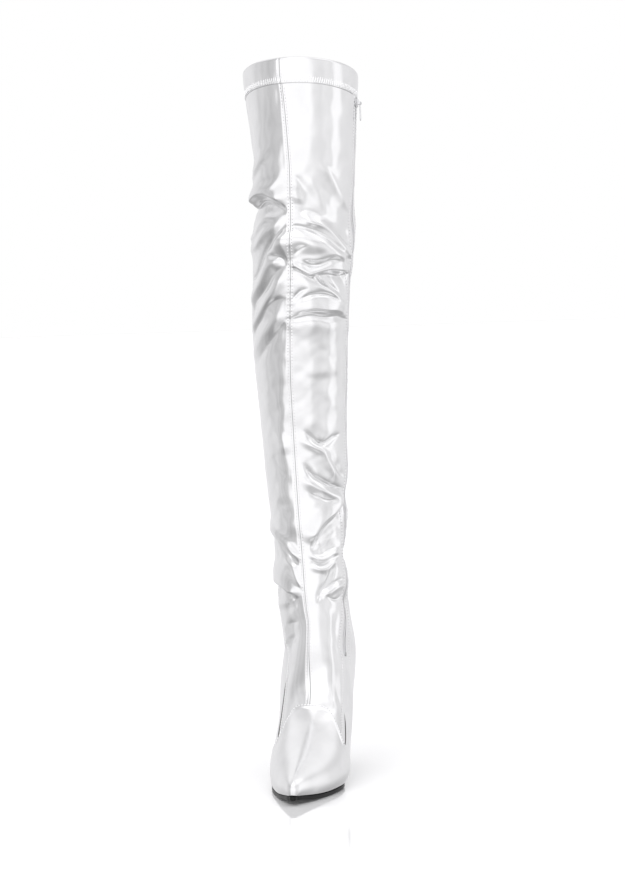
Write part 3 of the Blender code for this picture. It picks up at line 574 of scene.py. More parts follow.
def shaft_row(section):
    """The same columns for a closed ring of the shaft, worked out from its girth."""
    half_depth = section.girth / math.pi / (1 + section.flatness)
    half_width = half_depth * section.flatness
    reach = math.sqrt((2 * half_depth) ** 2 - section.tilt ** 2)
    return [section.back + reach, section.up + section.tilt / 2,
            section.back, section.up - section.tilt / 2,
            half_width, half_width, 0.0, 0.0, section.widest, 1.0, section.sway]


def run_along(points):
    """The length run at each point of a line."""
    return np.concatenate([[0.0], np.cumsum(np.linalg.norm(np.diff(points, axis=0), axis=1))])


def smooth_through(knots, rows):
    """A function for the natural cubic curve that passes each row of values at its knot."""
    knots = np.asarray(knots, float)
    steps = np.diff(knots)
    count = len(knots)
    system = np.eye(count)
    turn = np.zeros_like(rows)
    for i in range(1, count - 1):
        system[i, i - 1:i + 2] = steps[i - 1], 2 * (steps[i - 1] + steps[i]), steps[i]
        turn[i] = 6 * ((rows[i + 1] - rows[i]) / steps[i] - (rows[i] - rows[i - 1]) / steps[i - 1])
    bend = np.linalg.solve(system, turn)

    def at(t):
        i = np.clip(np.searchsorted(knots, t) - 1, 0, count - 2)
        step = steps[i][..., None]
        after = ((t - knots[i]) / steps[i])[..., None]
        before = 1 - after
        curl = (before ** 3 - before) * bend[i] + (after ** 3 - after) * bend[i + 1]
        return before * rows[i] + after * rows[i + 1] + curl * step ** 2 / 6

    return at


ROWS = np.array([foot_row(s) for s in FOOT] + [shaft_row(s) for s in SHAFT])
FRONT_RUN = run_along(ROWS[:, [FRONT_AHEAD, FRONT_UP]])
BACK_RUN = run_along(ROWS[:, [EDGE_AHEAD, EDGE_UP]])
KNOTS = (FRONT_RUN + BACK_RUN) / 2
PLACE = {s.name: t for s, t in zip(FOOT + SHAFT, KNOTS)}
CURVE = smooth_through(KNOTS, ROWS)
COLLAR = PLACE["collar"]
HEM_FOOT = COLLAR - HEM_TALL
ZIP_FOOT = PLACE["seat"]


def section_at(t):
    """The section's columns at t, with the foot's edge held to the line of the sole."""
    t = np.asarray(t, float)
    row = CURVE(t)
    row[..., EDGE_UP] = np.where(t < PLACE["heel_point"], feather_up(row[..., EDGE_AHEAD]), row[..., EDGE_UP])
    return row


def to_metres(across, ahead, up):
    return np.stack(np.broadcast_arrays(across - ORIGIN_ACROSS, ORIGIN_AHEAD - ahead, up), axis=-1) * MM


def skin(t, u):
    """Points of the upper's smooth outer face, in metres, for arrays of t and u."""
    t, u = np.broadcast_arrays(np.asarray(t, float), np.asarray(u, float))
    row = section_at(t)
    inner = u > 0
    half = np.where(inner, row[..., INNER], row[..., OUTER])
    edge = np.where(inner, row[..., INNER_EDGE], row[..., OUTER_EDGE])
    edge = np.where(t >= PLACE["heel_point"], 0.0, np.clip(edge, 0.0, half))
    end = math.pi - np.arcsin(edge / half)
    share = np.abs(u)
    front = share <= 0.5
    angle = np.where(front, math.pi * share, math.pi / 2 + (end - math.pi / 2) * (2 * share - 1))
    widest = row[..., WIDEST]
    front_down = widest * (1 - np.cos(angle))
    rear_down = widest + (1 - widest) * np.cos(angle) / np.cos(end)
    down = np.where(front, front_down, rear_down)
    crown = np.where(front, row[..., CROWN], 1.0)
    across = row[..., SWAY] + np.sign(u) * half * np.clip(np.sin(angle), 0.0, 1.0) ** crown
    ahead = row[..., FRONT_AHEAD] + (row[..., EDGE_AHEAD] - row[..., FRONT_AHEAD]) * down
    up = row[..., FRONT_UP] + (row[..., EDGE_UP] - row[..., FRONT_UP]) * down
    return to_metres(across, ahead, up)


def unit(vectors):
    return vectors / np.maximum(np.linalg.norm(vectors, axis=-1, keepdims=True), 1e-12)


def skin_axes(t, u):
    """Points of the smooth skin, and square unit vectors around the boot, along it and outward."""
    step_t, step_u = 0.6, 0.004
    t, u = np.broadcast_arrays(np.asarray(t, float), np.asarray(u, float))
    around = unit(skin(t, np.clip(u + step_u, -1, 1)) - skin(t, np.clip(u - step_u, -1, 1)))
    along = unit(skin(t + step_t, u) - skin(np.maximum(t - step_t, 0.0), u))
    outward = unit(np.cross(around, along))
    return skin(t, u), np.cross(along, outward), along, outward


def half_girths():
    rings = skin(KNOTS[:, None], np.linspace(-1, 1, GIRTH_POINTS)[None, :])
    return np.linalg.norm(np.diff(rings, axis=1), axis=2).sum(axis=1) / 2 / MM


HALF_GIRTHS = half_girths()


def half_girth(t):
    return np.interp(t, KNOTS, HALF_GIRTHS)


def smooth_step(x):
    x = np.clip(x, 0.0, 1.0)
    return x * x * (3 - 2 * x)


def between(t, start, end, fade):
    """0 outside start and end, rising to 1 over a fade inside each."""
    return smooth_step((t - start) / fade) * smooth_step((end - t) / fade)


def bell(off, reach):
    return np.exp(-(off / reach) ** 2)


def ripple(place, size, length, start=0.0):
    return size * np.sin(place / length + start)


def seam_place(table, t):
    return np.interp(t, [PLACE[name] for name, _ in table], [u for _, u in table])


def side_seam(t, side=1):
    """Place of the side seam; on the foot the inner one lies a little further round."""
    start, end = INNER_SHIFT_ENDS
    further = INNER_SHIFT * (1 - smooth_step((t - start) / (end - start)))
    return seam_place(SIDE_SEAM, t) + np.where(np.asarray(side) > 0, further, 0.0)


def front_seam(t):
    return seam_place(FRONT_SEAM, t)


def vamp_back(u):
    """Where the vamp ends: a flat arch, higher at its corners, whose legs drop to the side notches."""
    off = np.abs(u - ARCH_SHIFT)
    arch = ARCH_TOP + ARCH_RISE * smooth_step(off / ARCH_CORNER)
    leg = smooth_step((off - ARCH_CORNER) / ARCH_LEG)
    return arch + (NOTCH_ALONG - arch) * leg


def fold_line(path):
    """Closely spaced points on the smooth curve through a fold's own points, and its length."""
    points = np.array(path, float)
    knots = run_along(points)
    return smooth_through(knots, points)(np.linspace(0.0, knots[-1], FOLD_POINTS)), knots[-1]


def fold_relief(fold, along, around):
    """Rise and slide of one fold at flat arrays of places: outward, along, around."""
    line, length = fold_line(fold.path)
    way = unit(np.gradient(line, axis=0))
    gap = np.stack([along, around], -1)[:, None, :] - line[None]
    nearest = np.argmin((gap ** 2).sum(-1), axis=1)
    off = gap[np.arange(len(nearest)), nearest]
    way = way[nearest]
    side = way[:, 1] * off[:, 0] - way[:, 0] * off[:, 1]
    run = nearest * length / (FOLD_POINTS - 1) + (off * way).sum(-1)
    taper = smooth_step(np.minimum(run, length - run) / min(FOLD_FADE, FOLD_FADE_SHARE * length))
    flank = np.where(side > 0, fold.upper, fold.lower)
    if fold.rise > 0 or fold.upper > BROAD:
        shape = taper * bell(side, flank)
    else:
        steep = CREASE_STEEPNESS * np.abs(side) / flank
        shape = taper * np.exp(CREASE_SOFTNESS - np.hypot(CREASE_SOFTNESS, steep))
    slump = fold.lean * shape ** 2
    return fold.rise * shape, -way[:, 1] * slump, way[:, 0] * slump


def add_fold(fold, along, around, total):
    """Add one fold to the running total of outward, along and around, where it reaches."""
    path = np.array(fold.path, float)
    reach = FOLD_REACH * max(fold.upper, fold.lower)
    low, high = path.min(axis=0) - reach, path.max(axis=0) + reach
    near = (along > low[0]) & (along < high[0]) & (around > low[1]) & (around < high[1])
    if near.any():
        for part, more in zip(total, fold_relief(fold, along[near], around[near])):
            part[near] += more


def gathers(pucker, place, off, drift=0.0):
    """Uneven little waves along a sewn line, fading with the distance from it."""
    wave = np.sin(2 * math.pi * place / pucker.step + ripple(place, *pucker.wander) + drift)
    return PUCKER_LIFT * pucker.share * wave * bell(off, pucker.reach)


def puckers(t, u):
    """Small gathers beside the zip, under the hem and along the front seam at the knee."""
    half = half_girth(t)
    off_zip = np.abs(u - side_seam(t)) * half - ZIP_EDGE.stitch - ZIP_HALF_GAP
    swell = 1 - ZIP_SWELL[0] + ripple(t, *ZIP_SWELL, ZIP_SWELL_AROUND * u)
    on_zip = swell * gathers(ZIP_PUCKER, t, off_zip, ripple(t, *ZIP_DRIFT, u))
    on_zip = on_zip * smooth_step((t - ZIP_FOOT) / PUCKER_FADE)
    under_hem = gathers(HEM_PUCKER, u * half, t - HEM_FOOT + HEM_PUCKER_BELOW)
    on_seam = gathers(SEAM_PUCKER, t, (u - front_seam(t)) * half)
    return on_zip + under_hem + on_seam * between(t, *SEAM_PUCKER_ENDS, PUCKER_FADE)


def crumple(along, around):
    """Sharp little valleys between soft bumps, where the leg bends."""
    depth = sum(height * between(along, start, end, CRUMPLE_FADE) for start, end, height in CRUMPLED)
    bent_along = along + ripple(around, *BEND_ACROSS) + ripple(along + around, *BEND_SLANTED)
    bent_around = around + ripple(along, *BEND_ALONG)
    total = 0.0
    for share, long_wave, round_wave, start in CRUMPLE_WAVES:
        phase = math.pi * (bent_along / long_wave + bent_around / round_wave) + start
        total = total + share * (np.sqrt(np.sin(phase) ** 2 + CRUMPLE_SOFTNESS) - CRUMPLE_LEVEL)
    return depth * total


def sewn_folds(along, u):
    """Outward, along and around of all the folds, held back by the side seams."""
    half = half_girth(along)
    around = u * half
    total = [np.zeros_like(along) for _ in range(3)]
    wander_along = along + ripple(around, WANDER, WANDER_ALONG[0], along / WANDER_ALONG[1])
    wander_around = around + ripple(along, WANDER, WANDER_AROUND[0], around / WANDER_AROUND[1])
    wrapped = np.where(around < 0, wander_around + 2 * half, FAR_AWAY)
    for fold in FOLDS:
        add_fold(fold, wander_along, wander_around, total)
        if max(place[1] for place in fold.path) > BACK_AROUND:
            add_fold(fold, wander_along, wrapped, total)
    off_seam = (np.abs(u) - side_seam(along, u)) * half
    held = 1 - SEWN_HOLD * bell(off_seam, SEWN_REACH)
    return [part * held for part in total]


def slow_waves(along, u):
    """Slow waves of the leather, small on the foot and none on the centre seams."""
    half = half_girth(along)
    around = u * half
    loose = smooth_step((along - TIGHT_BELOW) / (LOOSE_ABOVE - TIGHT_BELOW))
    share = TIGHT_SHARE + (1 - TIGHT_SHARE) * loose
    off_seams = np.minimum(np.abs(u), 1 - np.abs(u)) * half
    share = share * smooth_step(off_seams / WAVE_FREE_OF_SEAM)
    return share * sum(height * np.sin(2 * math.pi * (along / long_wave + around / round_wave) + start)
                       for height, long_wave, round_wave, start in WAVES)


def relief(t, u):
    """How far the worn leather stands off the smooth skin: outward, along and around."""
    along, u = t.ravel(), u.ravel()
    around = u * half_girth(along)
    total = sewn_folds(along, u)
    for form in BROAD_FORMS:
        add_fold(form, along, around, total)
    total[0] += slow_waves(along, u) + puckers(along, u) + crumple(along, around)
    calm = smooth_step((HEM_FOOT + TUCK - along) / CALM_RUN)
    return [(part * calm).reshape(t.shape) for part in total]


def drape(t, u, lift=0.0):
    """Points on the folded leather, raised by a lift in millimetres."""
    t, u, lift = np.broadcast_arrays(np.asarray(t, float), np.asarray(u, float), np.asarray(lift, float))
    point, around, along, outward = skin_axes(t, u)
    rise, slide_along, slide_around = relief(t, u)
    moved = outward * (rise + lift)[..., None] + along * slide_along[..., None]
    return point + (moved + around * slide_around[..., None]) * MM


def drape_axes(t, u, lift):
    """Points on the folded leather, and unit vectors around it, along it and outward."""
    step_t, step_u = 0.8, 0.006
    around = unit(drape(t, u + step_u, lift) - drape(t, u - step_u, lift))
    along = unit(drape(t + step_t, u, lift) - drape(t - step_t, u, lift))
    return drape(t, u, lift), around, along, unit(np.cross(around, along))


def put_in_scene(name, data):
    thing = bpy.data.objects.new(name, data)
    bpy.context.scene.collection.objects.link(thing)
    return thing


def mesh_object(name, points, faces, finishes):
    mesh = bpy.data.meshes.new(name)
    mesh.from_pydata(points.reshape(-1, 3).tolist(), [], faces)
    mesh.polygons.foreach_set("use_smooth", [True] * len(mesh.polygons))
    for finish in finishes:
        mesh.materials.append(finish)
    return put_in_scene(name, mesh)


def grid_faces(rows, columns, first=0, closed_rows=False, closed_columns=False):
    """Quads of a grid of points, row by row, that face outward on the boot."""
    row_count = rows if closed_rows else rows - 1
    column_count = columns if closed_columns else columns - 1
    i, j = np.meshgrid(np.arange(row_count), np.arange(column_count), indexing="ij")
    next_i, next_j = (i + 1) % rows, (j + 1) % columns
    corners = [i * columns + j, i * columns + next_j, next_i * columns + next_j, next_i * columns + j]
    return (np.stack(corners, -1).reshape(-1, 4) + first).tolist()


def weld(thing):
    """Join points that lie on each other, and take out the faces that this closes up."""
    shape = bmesh.new()
    shape.from_mesh(thing.data)
    bmesh.ops.remove_doubles(shape, verts=shape.verts, dist=WELD * MM)
    bmesh.ops.dissolve_degenerate(shape, edges=shape.edges, dist=WELD * MM / 4)
    shape.to_mesh(thing.data)
    shape.free()


def face_outward(thing):
    shape = bmesh.new()
    shape.from_mesh(thing.data)
    bmesh.ops.recalc_face_normals(shape, faces=shape.faces)
    shape.to_mesh(thing.data)
    shape.free()


def apply_modifiers(thing):
    """Turn what the modifiers make into the object's plain mesh."""
    graph = bpy.context.evaluated_depsgraph_get()
    made = bpy.data.meshes.new_from_object(thing.evaluated_get(graph))
    old = thing.data
    thing.modifiers.clear()
    thing.data = made
    made.name = old.name
    bpy.data.meshes.remove(old)


def give_wall(thing, thickness, inside_slot=0, rim_slot=0):
    """Thickness inward, with the materials of the given slots on the inside and on the cut edge."""
    solid = thing.modifiers.new("wall", "SOLIDIFY")
    solid.thickness = thickness * MM
    solid.offset = -1.0
    solid.use_even_offset = False
    solid.material_offset = inside_slot
    solid.material_offset_rim = rim_slot
    apply_modifiers(thing)


def edge_lift(distance, edge):
    """The sewn band by an edge: raised, with a dent along its stitches."""
    band = edge.raised * (1 - smooth_step((distance - edge.band) / edge.band))
    dent = STITCH_DENT * bell(distance - edge.stitch, DENT_REACH)
    return band - (dent if edge.raised > 0 else 0.0)


def edge_roll(distance):
    """0 on the cut edge, rounding up to 1 inside it."""
    return np.sqrt(1 - (1 - np.clip(distance / EDGE_RADIUS, 0, 1)) ** 2)


def spread_columns(width, count):
    """Distances across a panel from one edge: close by both edges, even between them."""
    near = np.broadcast_to(EDGE_COLUMNS, (len(width), len(EDGE_COLUMNS)))
    share = np.linspace(0, 1, count + 2)[1:-1]
    start = EDGE_COLUMNS[-1]
    middle = start + share[None, :] * (width - 2 * start)[:, None]
    far = width[:, None] - near[:, ::-1]
    return np.concatenate([near, middle, far], axis=1)


def row_places(start, end, coarser=1.0):
    """Places along the boot, close together where the leather folds most."""
    places = [start]
    while places[-1] < end:
        step = next(step for stop, step in ROW_STEPS if places[-1] < stop)
        places.append(places[-1] + step * coarser)
    places = np.array(places)
    return start + (places - start) * (end - start) / (places[-1] - start)


def on_leg(t, side):
    """0 on the foot, where the quarter laps over the front panel; 1 on the leg, where it lies under."""
    start, end = FOOT_LAP_ENDS[side]
    return smooth_step((t - start) / (end - start))


def zip_gap(t, side=1):
    """Half the space between the two edges of the zip, opening from its foot; none on the outer side."""
    opening = smooth_step((t - ZIP_FOOT + ZIP_OPENS_BELOW) / ZIP_OPENING_RUN)
    return ZIP_HALF_GAP * opening * (side > 0)


def make_front_panel(name, side, leather, lining):
    """A front panel: from the centre seam to its side seam, from under the vamp to under the hem."""
    spine = row_places(NOTCH_ALONG - TUCK, HEM_FOOT + TUCK)
    half = half_girth(spine)
    leg = on_leg(spine, side)
    past_seam = FOOT_LAP * (1 - leg) - zip_gap(spine, side)
    ends = front_seam(spine), side * (side_seam(spine, side) + past_seam / half)
    low, high = ends if side > 0 else ends[::-1]
    width = (high - low) * half
    distance = spread_columns(width, PANEL_COLUMNS)
    far = width[:, None] - distance
    by_seam, by_side = (distance, far) if side > 0 else (far, distance)
    u = low[:, None] + distance / half[:, None]
    arch_share = 1 - smooth_step((spine - spine[0]) / ARCH_RUN)
    t = spine[:, None] + arch_share[:, None] * (vamp_back(u[0]) - NOTCH_ALONG)[None, :]
    lift = PANEL_REST + edge_lift(by_seam, FRONT_EDGE)
    lift = lift + edge_lift(by_side, ZIP_EDGE if side > 0 else SIDE_EDGE) * leg[:, None]
    lift = (lift + EDGE_DIP) * edge_roll(by_seam) * edge_roll(by_side) - EDGE_DIP
    panel = mesh_object(name, drape(t, u, lift), grid_faces(*t.shape), [leather, lining])
    give_wall(panel, FRONT_WALL, INSIDE_SLOT)
    return panel


def quarter_side(t, side):
    """Points of one side of the back quarter, in rows along which u rises."""
    half = half_girth(t)
    gap = zip_gap(t, side)
    leg = on_leg(t, side)
    under_panel = FOOT_LAP * leg * (gap < ZIP_HALF_GAP / 2)
    start = side_seam(t, side) + (gap - under_panel) / half
    width = (1 - start) * half
    near = np.broadcast_to(EDGE_COLUMNS, (len(t), len(EDGE_COLUMNS)))
    share = np.linspace(0, 1, QUARTER_COLUMNS + 1)[1:]
    even = EDGE_COLUMNS[-1] + share[None, :] * (width - EDGE_COLUMNS[-1])[:, None]
    distance = np.concatenate([near, even], axis=1)
    u = np.clip(start[:, None] + distance / half[:, None], 0, 1) * side
    leg_lift = edge_lift(distance, ZIP_EDGE if side > 0 else UNDER_EDGE)
    if side > 0:
        leg_lift = leg_lift + EDGE_DIP * (edge_roll(distance) - 1)
    lift = leg_lift * leg[:, None] + edge_lift(distance, FOOT_EDGE) * (1 - leg)[:, None]
    grid = drape(t[:, None], u, lift)
    return grid if side > 0 else grid[:, ::-1]


def keep_slit_shade_low(panel):
    """Above the foot the cut edge takes the leather again, so the painted shade of the slit stays on the
    foot.
    """
    for face in panel.data.polygons:
        if face.material_index == SLIT_SHADE_SLOT and face.center.z > SLIT_SHADE_TOP * MM:
            face.material_index = 0


def make_quarter(leather, lining, slit_shade):
    """The back quarter: from under one front panel, round the back, to the other side of the zip."""
    t = row_places(NOTCH_ALONG - TUCK, HEM_FOOT + TUCK, QUARTER_COARSER)
    outer, inner = quarter_side(t, -1), quarter_side(t, 1)
    rows, columns = outer.shape[:2]
    faces = grid_faces(rows, columns) + grid_faces(rows, columns, first=rows * columns)
    quarter = mesh_object("back_quarter", np.concatenate([outer, inner]), faces, [leather, lining, slit_shade])
    weld(quarter)
    # The cut edge gets the painted shade of the slit
    give_wall(quarter, WALL, INSIDE_SLOT, SLIT_SHADE_SLOT)
    keep_slit_shade_low(quarter)
    return quarter


def make_vamp(leather, lining):
    """The toe piece, from the sole's edge up to its arch on the instep, lapping over the panels."""
    u = np.linspace(-1, 1, VAMP_COLUMNS)[None, :]
    back = vamp_back(u)
    share = np.linspace(0, 1, VAMP_ROWS)[:-1, None] ** VAMP_CROWDING
    t = np.concatenate([share * (back - EDGE_COLUMNS[-1]), back - EDGE_COLUMNS[::-1][:, None]], axis=0)
    u = np.broadcast_to(u, t.shape)
    distance = back - t
    lap = 1 - smooth_step((np.abs(u) - NOTCH_U - VAMP_LAP_PAST_NOTCH) / VAMP_LAP_FADE)
    lift = VAMP_REST + edge_lift(distance, ARCH_EDGE) * lap
    off_sole = FEATHER_REST + (1 - FEATHER_REST) * smooth_step((1 - np.abs(u)) / FEATHER_FADE)
    lift = (lift + EDGE_DIP) * edge_roll(distance) * off_sole - EDGE_DIP
    vamp = mesh_object("toe_vamp", drape(t, u, lift), grid_faces(*t.shape), [leather, lining])
    weld(vamp)
    give_wall(vamp, WALL, INSIDE_SLOT)
    return vamp


def collar_axes(u):
    """Points of the collar's edge, and unit vectors around, along and outward just below it."""
    point, around, along, outward = skin_axes(np.full(u.shape, COLLAR - COLLAR_INSET), u)
    return point + along * COLLAR_INSET * MM, around, along, outward


def make_hem(finish):
    """The folded band, gathered a little by its stitches and grooved by the front seam."""
    profile = np.array(HEM_PROFILE + HEM_PROFILE[:1])
    knots = run_along(profile)
    loop = smooth_through(knots, profile)(np.linspace(0, knots[-1], HEM_ROUND + 1)[:-1])
    rise, lift = loop[:, 0, None], loop[:, 1, None]
    u = np.linspace(-1, 1, HEM_COLUMNS + 1)[:-1]
    point, _, along, outward = collar_axes(np.maximum(u, -HEM_BACK))
    around = u * half_girth(COLLAR)
    gather = np.sin(2 * math.pi * around / HEM_GATHER_STEP + ripple(around, *HEM_GATHER_WANDER))
    gathered = HEM_GATHER_LIFT * bell(rise - HEM_GATHER_AT, HEM_GATHER_REACH) * (lift > 0)
    seam = bell(around - front_seam(COLLAR) * half_girth(COLLAR), HEM_SEAM_HALF)
    lift = lift + gathered * gather - HEM_SEAM_DEEP * seam * (lift > HEM_FACE)
    grid = point + (along * rise[..., None] + outward * lift[..., None]) * MM
    hem = mesh_object("hem_fold", grid, grid_faces(*grid.shape[:2], 0, True, True), [finish])
    face_outward(hem)
    return hem


def sole_thickness(ahead):
    return np.interp(ahead, [WAIST_AHEAD, TREAD_BACK], [WAIST_THICK, SOLE_THICK])


def sole_stations():
    """Rows across the sole, tip to heel breast: ahead, outer edge, inner edge, up."""
    nose = section_at(0.0)
    radius = nose[FRONT_AHEAD] - nose[EDGE_AHEAD] + SOLE_RIM
    halves = (nose[OUTER_EDGE] + SOLE_RIM) * np.sin(TIP_TURNS)
    tip_ahead = nose[EDGE_AHEAD] + radius * np.cos(TIP_TURNS)
    tip = [(ahead, half, half, feather_up(nose[EDGE_AHEAD])) for ahead, half in zip(tip_ahead, halves)]
    t = np.linspace(PLACE["instep"], PLACE["seat"], BREAST_POINTS)
    breast = float(np.interp(-SEAT_FRONT, -section_at(t)[:, EDGE_AHEAD], t))
    rows = section_at(np.linspace(0.0, breast, SOLE_ROWS))
    return tip + [(row[EDGE_AHEAD], row[OUTER_EDGE] + SOLE_RIM, row[INNER_EDGE] + SOLE_RIM, row[EDGE_UP])
                  for row in rows]


def sole_side(half, thickness):
    """One side of the sole's section: out from its middle line and down from its top."""
    return [(max(half * share - min(inset, half * INSET_LIMIT), SOLE_LEAST), down * thickness)
            for share, down, inset in SOLE_PROFILE]


def make_outsole(finish):
    """The thin sole, with a groove round its rim."""
    rings = []
    for ahead, outer, inner, up in sole_stations():
        thickness = sole_thickness(ahead)
        section = sole_side(inner, thickness)
        section += [(-out, down) for out, down in reversed(sole_side(outer, thickness))]
        rings.append([to_metres(out, ahead, up - GAP - down) for out, down in section])
    grid = np.array(rings)
    rows, count = grid.shape[:2]
    last = (rows - 1) * count
    faces = grid_faces(rows, count, closed_columns=True)
    faces += [list(range(count)), list(range(last, last + count))]
    sole = mesh_object("black_outsole", grid, faces, [finish])
    face_outward(sole)
    return sole


def heel_ring(row):
    """Plan of the heel at one height: round at the back, squarer at the breast."""
    _, back, breast, half_width = row
    angle = 2 * math.pi * np.arange(HEEL_ROUND) / HEEL_ROUND
    along, across = np.cos(angle), np.sin(angle)
    square = np.where(along > 0, BREAST_SQUARE, BACK_SQUARE)
    ahead = (back + breast) / 2 + (breast - back) / 2 * np.sign(along) * np.abs(along) ** square
    return ahead, half_width * np.sign(across) * np.abs(across) ** SIDE_SQUARE


def closed_loft(name, rings, finish):
    """A solid through rings of points, with a middle point closing each end."""
    grid = np.array(rings)
    rows, count = grid.shape[:2]
    ends = [grid[0].mean(axis=0), grid[-1].mean(axis=0)]
    faces = grid_faces(rows, count, closed_columns=True)
    for end, first in ((rows * count, 0), (rows * count + 1, (rows - 1) * count)):
        faces += [(end, first + i, first + (i + 1) % count) for i in range(count)]
    thing = mesh_object(name, np.concatenate([grid.reshape(-1, 3), ends]), faces, [finish])
    face_outward(thing)
    return thing


def make_heel(leather):
    """The covered heel: a slim column that flares into the heel seat."""
    table = np.array(HEEL, float)
    curve = smooth_through(table[:, 0], table)
    foot = LIFT_THICK + GAP
    rings = []
    for share in np.linspace(0.0, 1.0, HEEL_ROWS):
        ahead, across = heel_ring(curve(np.array(share)))
        seat = feather_up(ahead) - GAP
        rings.append(to_metres(across, ahead, foot + share * (seat - foot)))
    return closed_loft("heel_cover", rings, leather)


def make_heel_lift(finish):
    """The top piece under the heel, with eased edges."""
    ahead, across = heel_ring(HEEL[0])
    middle = (HEEL[0].back + HEEL[0].breast) / 2
    rings = [to_metres(across * size, middle + (ahead - middle) * size, up) for size, up in LIFT_PROFILE]
    return closed_loft("black_heel_lift", rings, finish)


def make_zip_tape(finish):
    """The woven tapes under the two edges, with a low ridge where the teeth sit."""
    t = np.linspace(ZIP_FOOT - TAPE_BELOW_FOOT, HEM_FOOT + TAPE_UNDER_HEM, TAPE_ROWS)
    across = np.linspace(-TAPE_HALF, TAPE_HALF, TAPE_COLUMNS)
    u = side_seam(t)[:, None] + across[None, :] / half_girth(t)[:, None]
    lift = TAPE_LIFT + TAPE_RIDGE * bell(across, TAPE_RIDGE_REACH)
    tape = mesh_object("zip_tape_strip", drape(t[:, None], u, lift), grid_faces(*u.shape), [finish])
    give_wall(tape, TAPE_THICK)
    return tape


def add_node(tree, kind, inputs=None, **settings):
    """A new node with its settings. An input that is given a socket is linked to it, others are set."""
    node = tree.nodes.new(kind)
    for label, value in settings.items():
        setattr(node, label, value)
    for label, value in (inputs or {}).items():
        if isinstance(value, bpy.types.NodeSocket):
            tree.links.new(value, node.inputs[label])
        else:
            node.inputs[label].default_value = value
    return node


def instance_tree(name, build_shape):
    """A node tree that puts one small shape on every point, laid along "way" and facing "out"."""
    tree = bpy.data.node_groups.new(name, "GeometryNodeTree")
    tree.interface.new_socket("Geometry", in_out="INPUT", socket_type="NodeSocketGeometry")
    sizes = [tree.interface.new_socket(label, in_out="INPUT", socket_type="NodeSocketFloat")
             for label in ("Length", "Width", "Height")]
    finish = tree.interface.new_socket("Finish", in_out="INPUT", socket_type="NodeSocketMaterial")
    tree.interface.new_socket("Geometry", in_out="OUTPUT", socket_type="NodeSocketGeometry")
    given = tree.nodes.new("NodeGroupInput").outputs
    scale = add_node(tree, "ShaderNodeCombineXYZ",
                     {"X": given["Length"], "Y": given["Width"], "Z": given["Height"]})
    sized = add_node(tree, "GeometryNodeTransform",
                     {"Geometry": build_shape(tree), "Scale": scale.outputs[0]})
    turn = (0.0, 0.0, 0.0)
    for attribute, axis, pivot in (("way", "X", "AUTO"), ("out", "Z", "X")):
        named = add_node(tree, "GeometryNodeInputNamedAttribute", {"Name": attribute},
                         data_type="FLOAT_VECTOR")
        align = add_node(tree, "FunctionNodeAlignRotationToVector",
                         {"Rotation": turn, "Vector": named.outputs["Attribute"]},
                         axis=axis, pivot_axis=pivot)
        turn = align.outputs["Rotation"]
    spread = add_node(tree, "GeometryNodeInstanceOnPoints",
                      {"Points": given["Geometry"], "Instance": sized.outputs["Geometry"], "Rotation": turn})
    real = add_node(tree, "GeometryNodeRealizeInstances", {"Geometry": spread.outputs["Instances"]})
    smooth = add_node(tree, "GeometryNodeSetShadeSmooth", {"Geometry": real.outputs["Geometry"]})
    paint = add_node(tree, "GeometryNodeSetMaterial",
                     {"Geometry": smooth.outputs["Geometry"], "Material": given["Finish"]})
    add_node(tree, "NodeGroupOutput", {"Geometry": paint.outputs["Geometry"]})
    return tree, sizes, finish


def stitch_shape(tree):
    """A small smooth bead, which the sizes stretch into a stitch."""
    bead = add_node(tree, "GeometryNodeMeshUVSphere", {"Segments": 8, "Rings": 5, "Radius": 0.5})
    return bead.outputs["Mesh"]


def tooth_shape(tree):
    """One loop of the coil: a bar that lies across the zip."""
    bar = add_node(tree, "GeometryNodeMeshCylinder", {"Vertices": 8, "Radius": 0.5, "Depth": 1.0})
    lay = add_node(tree, "GeometryNodeTransform",
                   {"Geometry": bar.outputs["Mesh"], "Rotation": (0.0, math.pi / 2, 0.0)})
    return lay.outputs["Geometry"]


def lay_instances(name, tree_parts, rows, size, finish):
    """Set one small shape on each point of rows of points, ways and outward vectors."""
    tree, sizes, finish_socket = tree_parts
    points, way, out = (np.concatenate(column) for column in zip(*rows))
    thing = mesh_object(name, points, [], [])
    for label, vectors in (("way", way), ("out", out)):
        attribute = thing.data.attributes.new(label, "FLOAT_VECTOR", "POINT")
        attribute.data.foreach_set("vector", np.asarray(vectors, np.float32).ravel())
    maker = thing.modifiers.new("rows", "NODES")
    maker.node_group = tree
    for socket, value in zip(sizes, size):
        maker[socket.identifier] = value * MM
    maker[finish_socket.identifier] = finish
    apply_modifiers(thing)
    return thing


def even_places(t, u, lift, pitch, start):
    """Evenly pitched places along a line on the leather, by its true length, from a share of a pitch."""
    run = run_along(drape(t, u, lift)) / MM
    stops = np.arange(pitch * start, run[-1], pitch)
    return np.interp(stops, run, t), np.interp(stops, run, u)


def row_of_stitches(t, u, lift, start):
    """Points, ways and outward vectors of one row of stitches along a line."""
    t, u = even_places(t, u, lift, STITCH_PITCH, start)
    point, _, _, out = drape_axes(t, u, lift)
    return point, unit(np.gradient(point, axis=0)), out


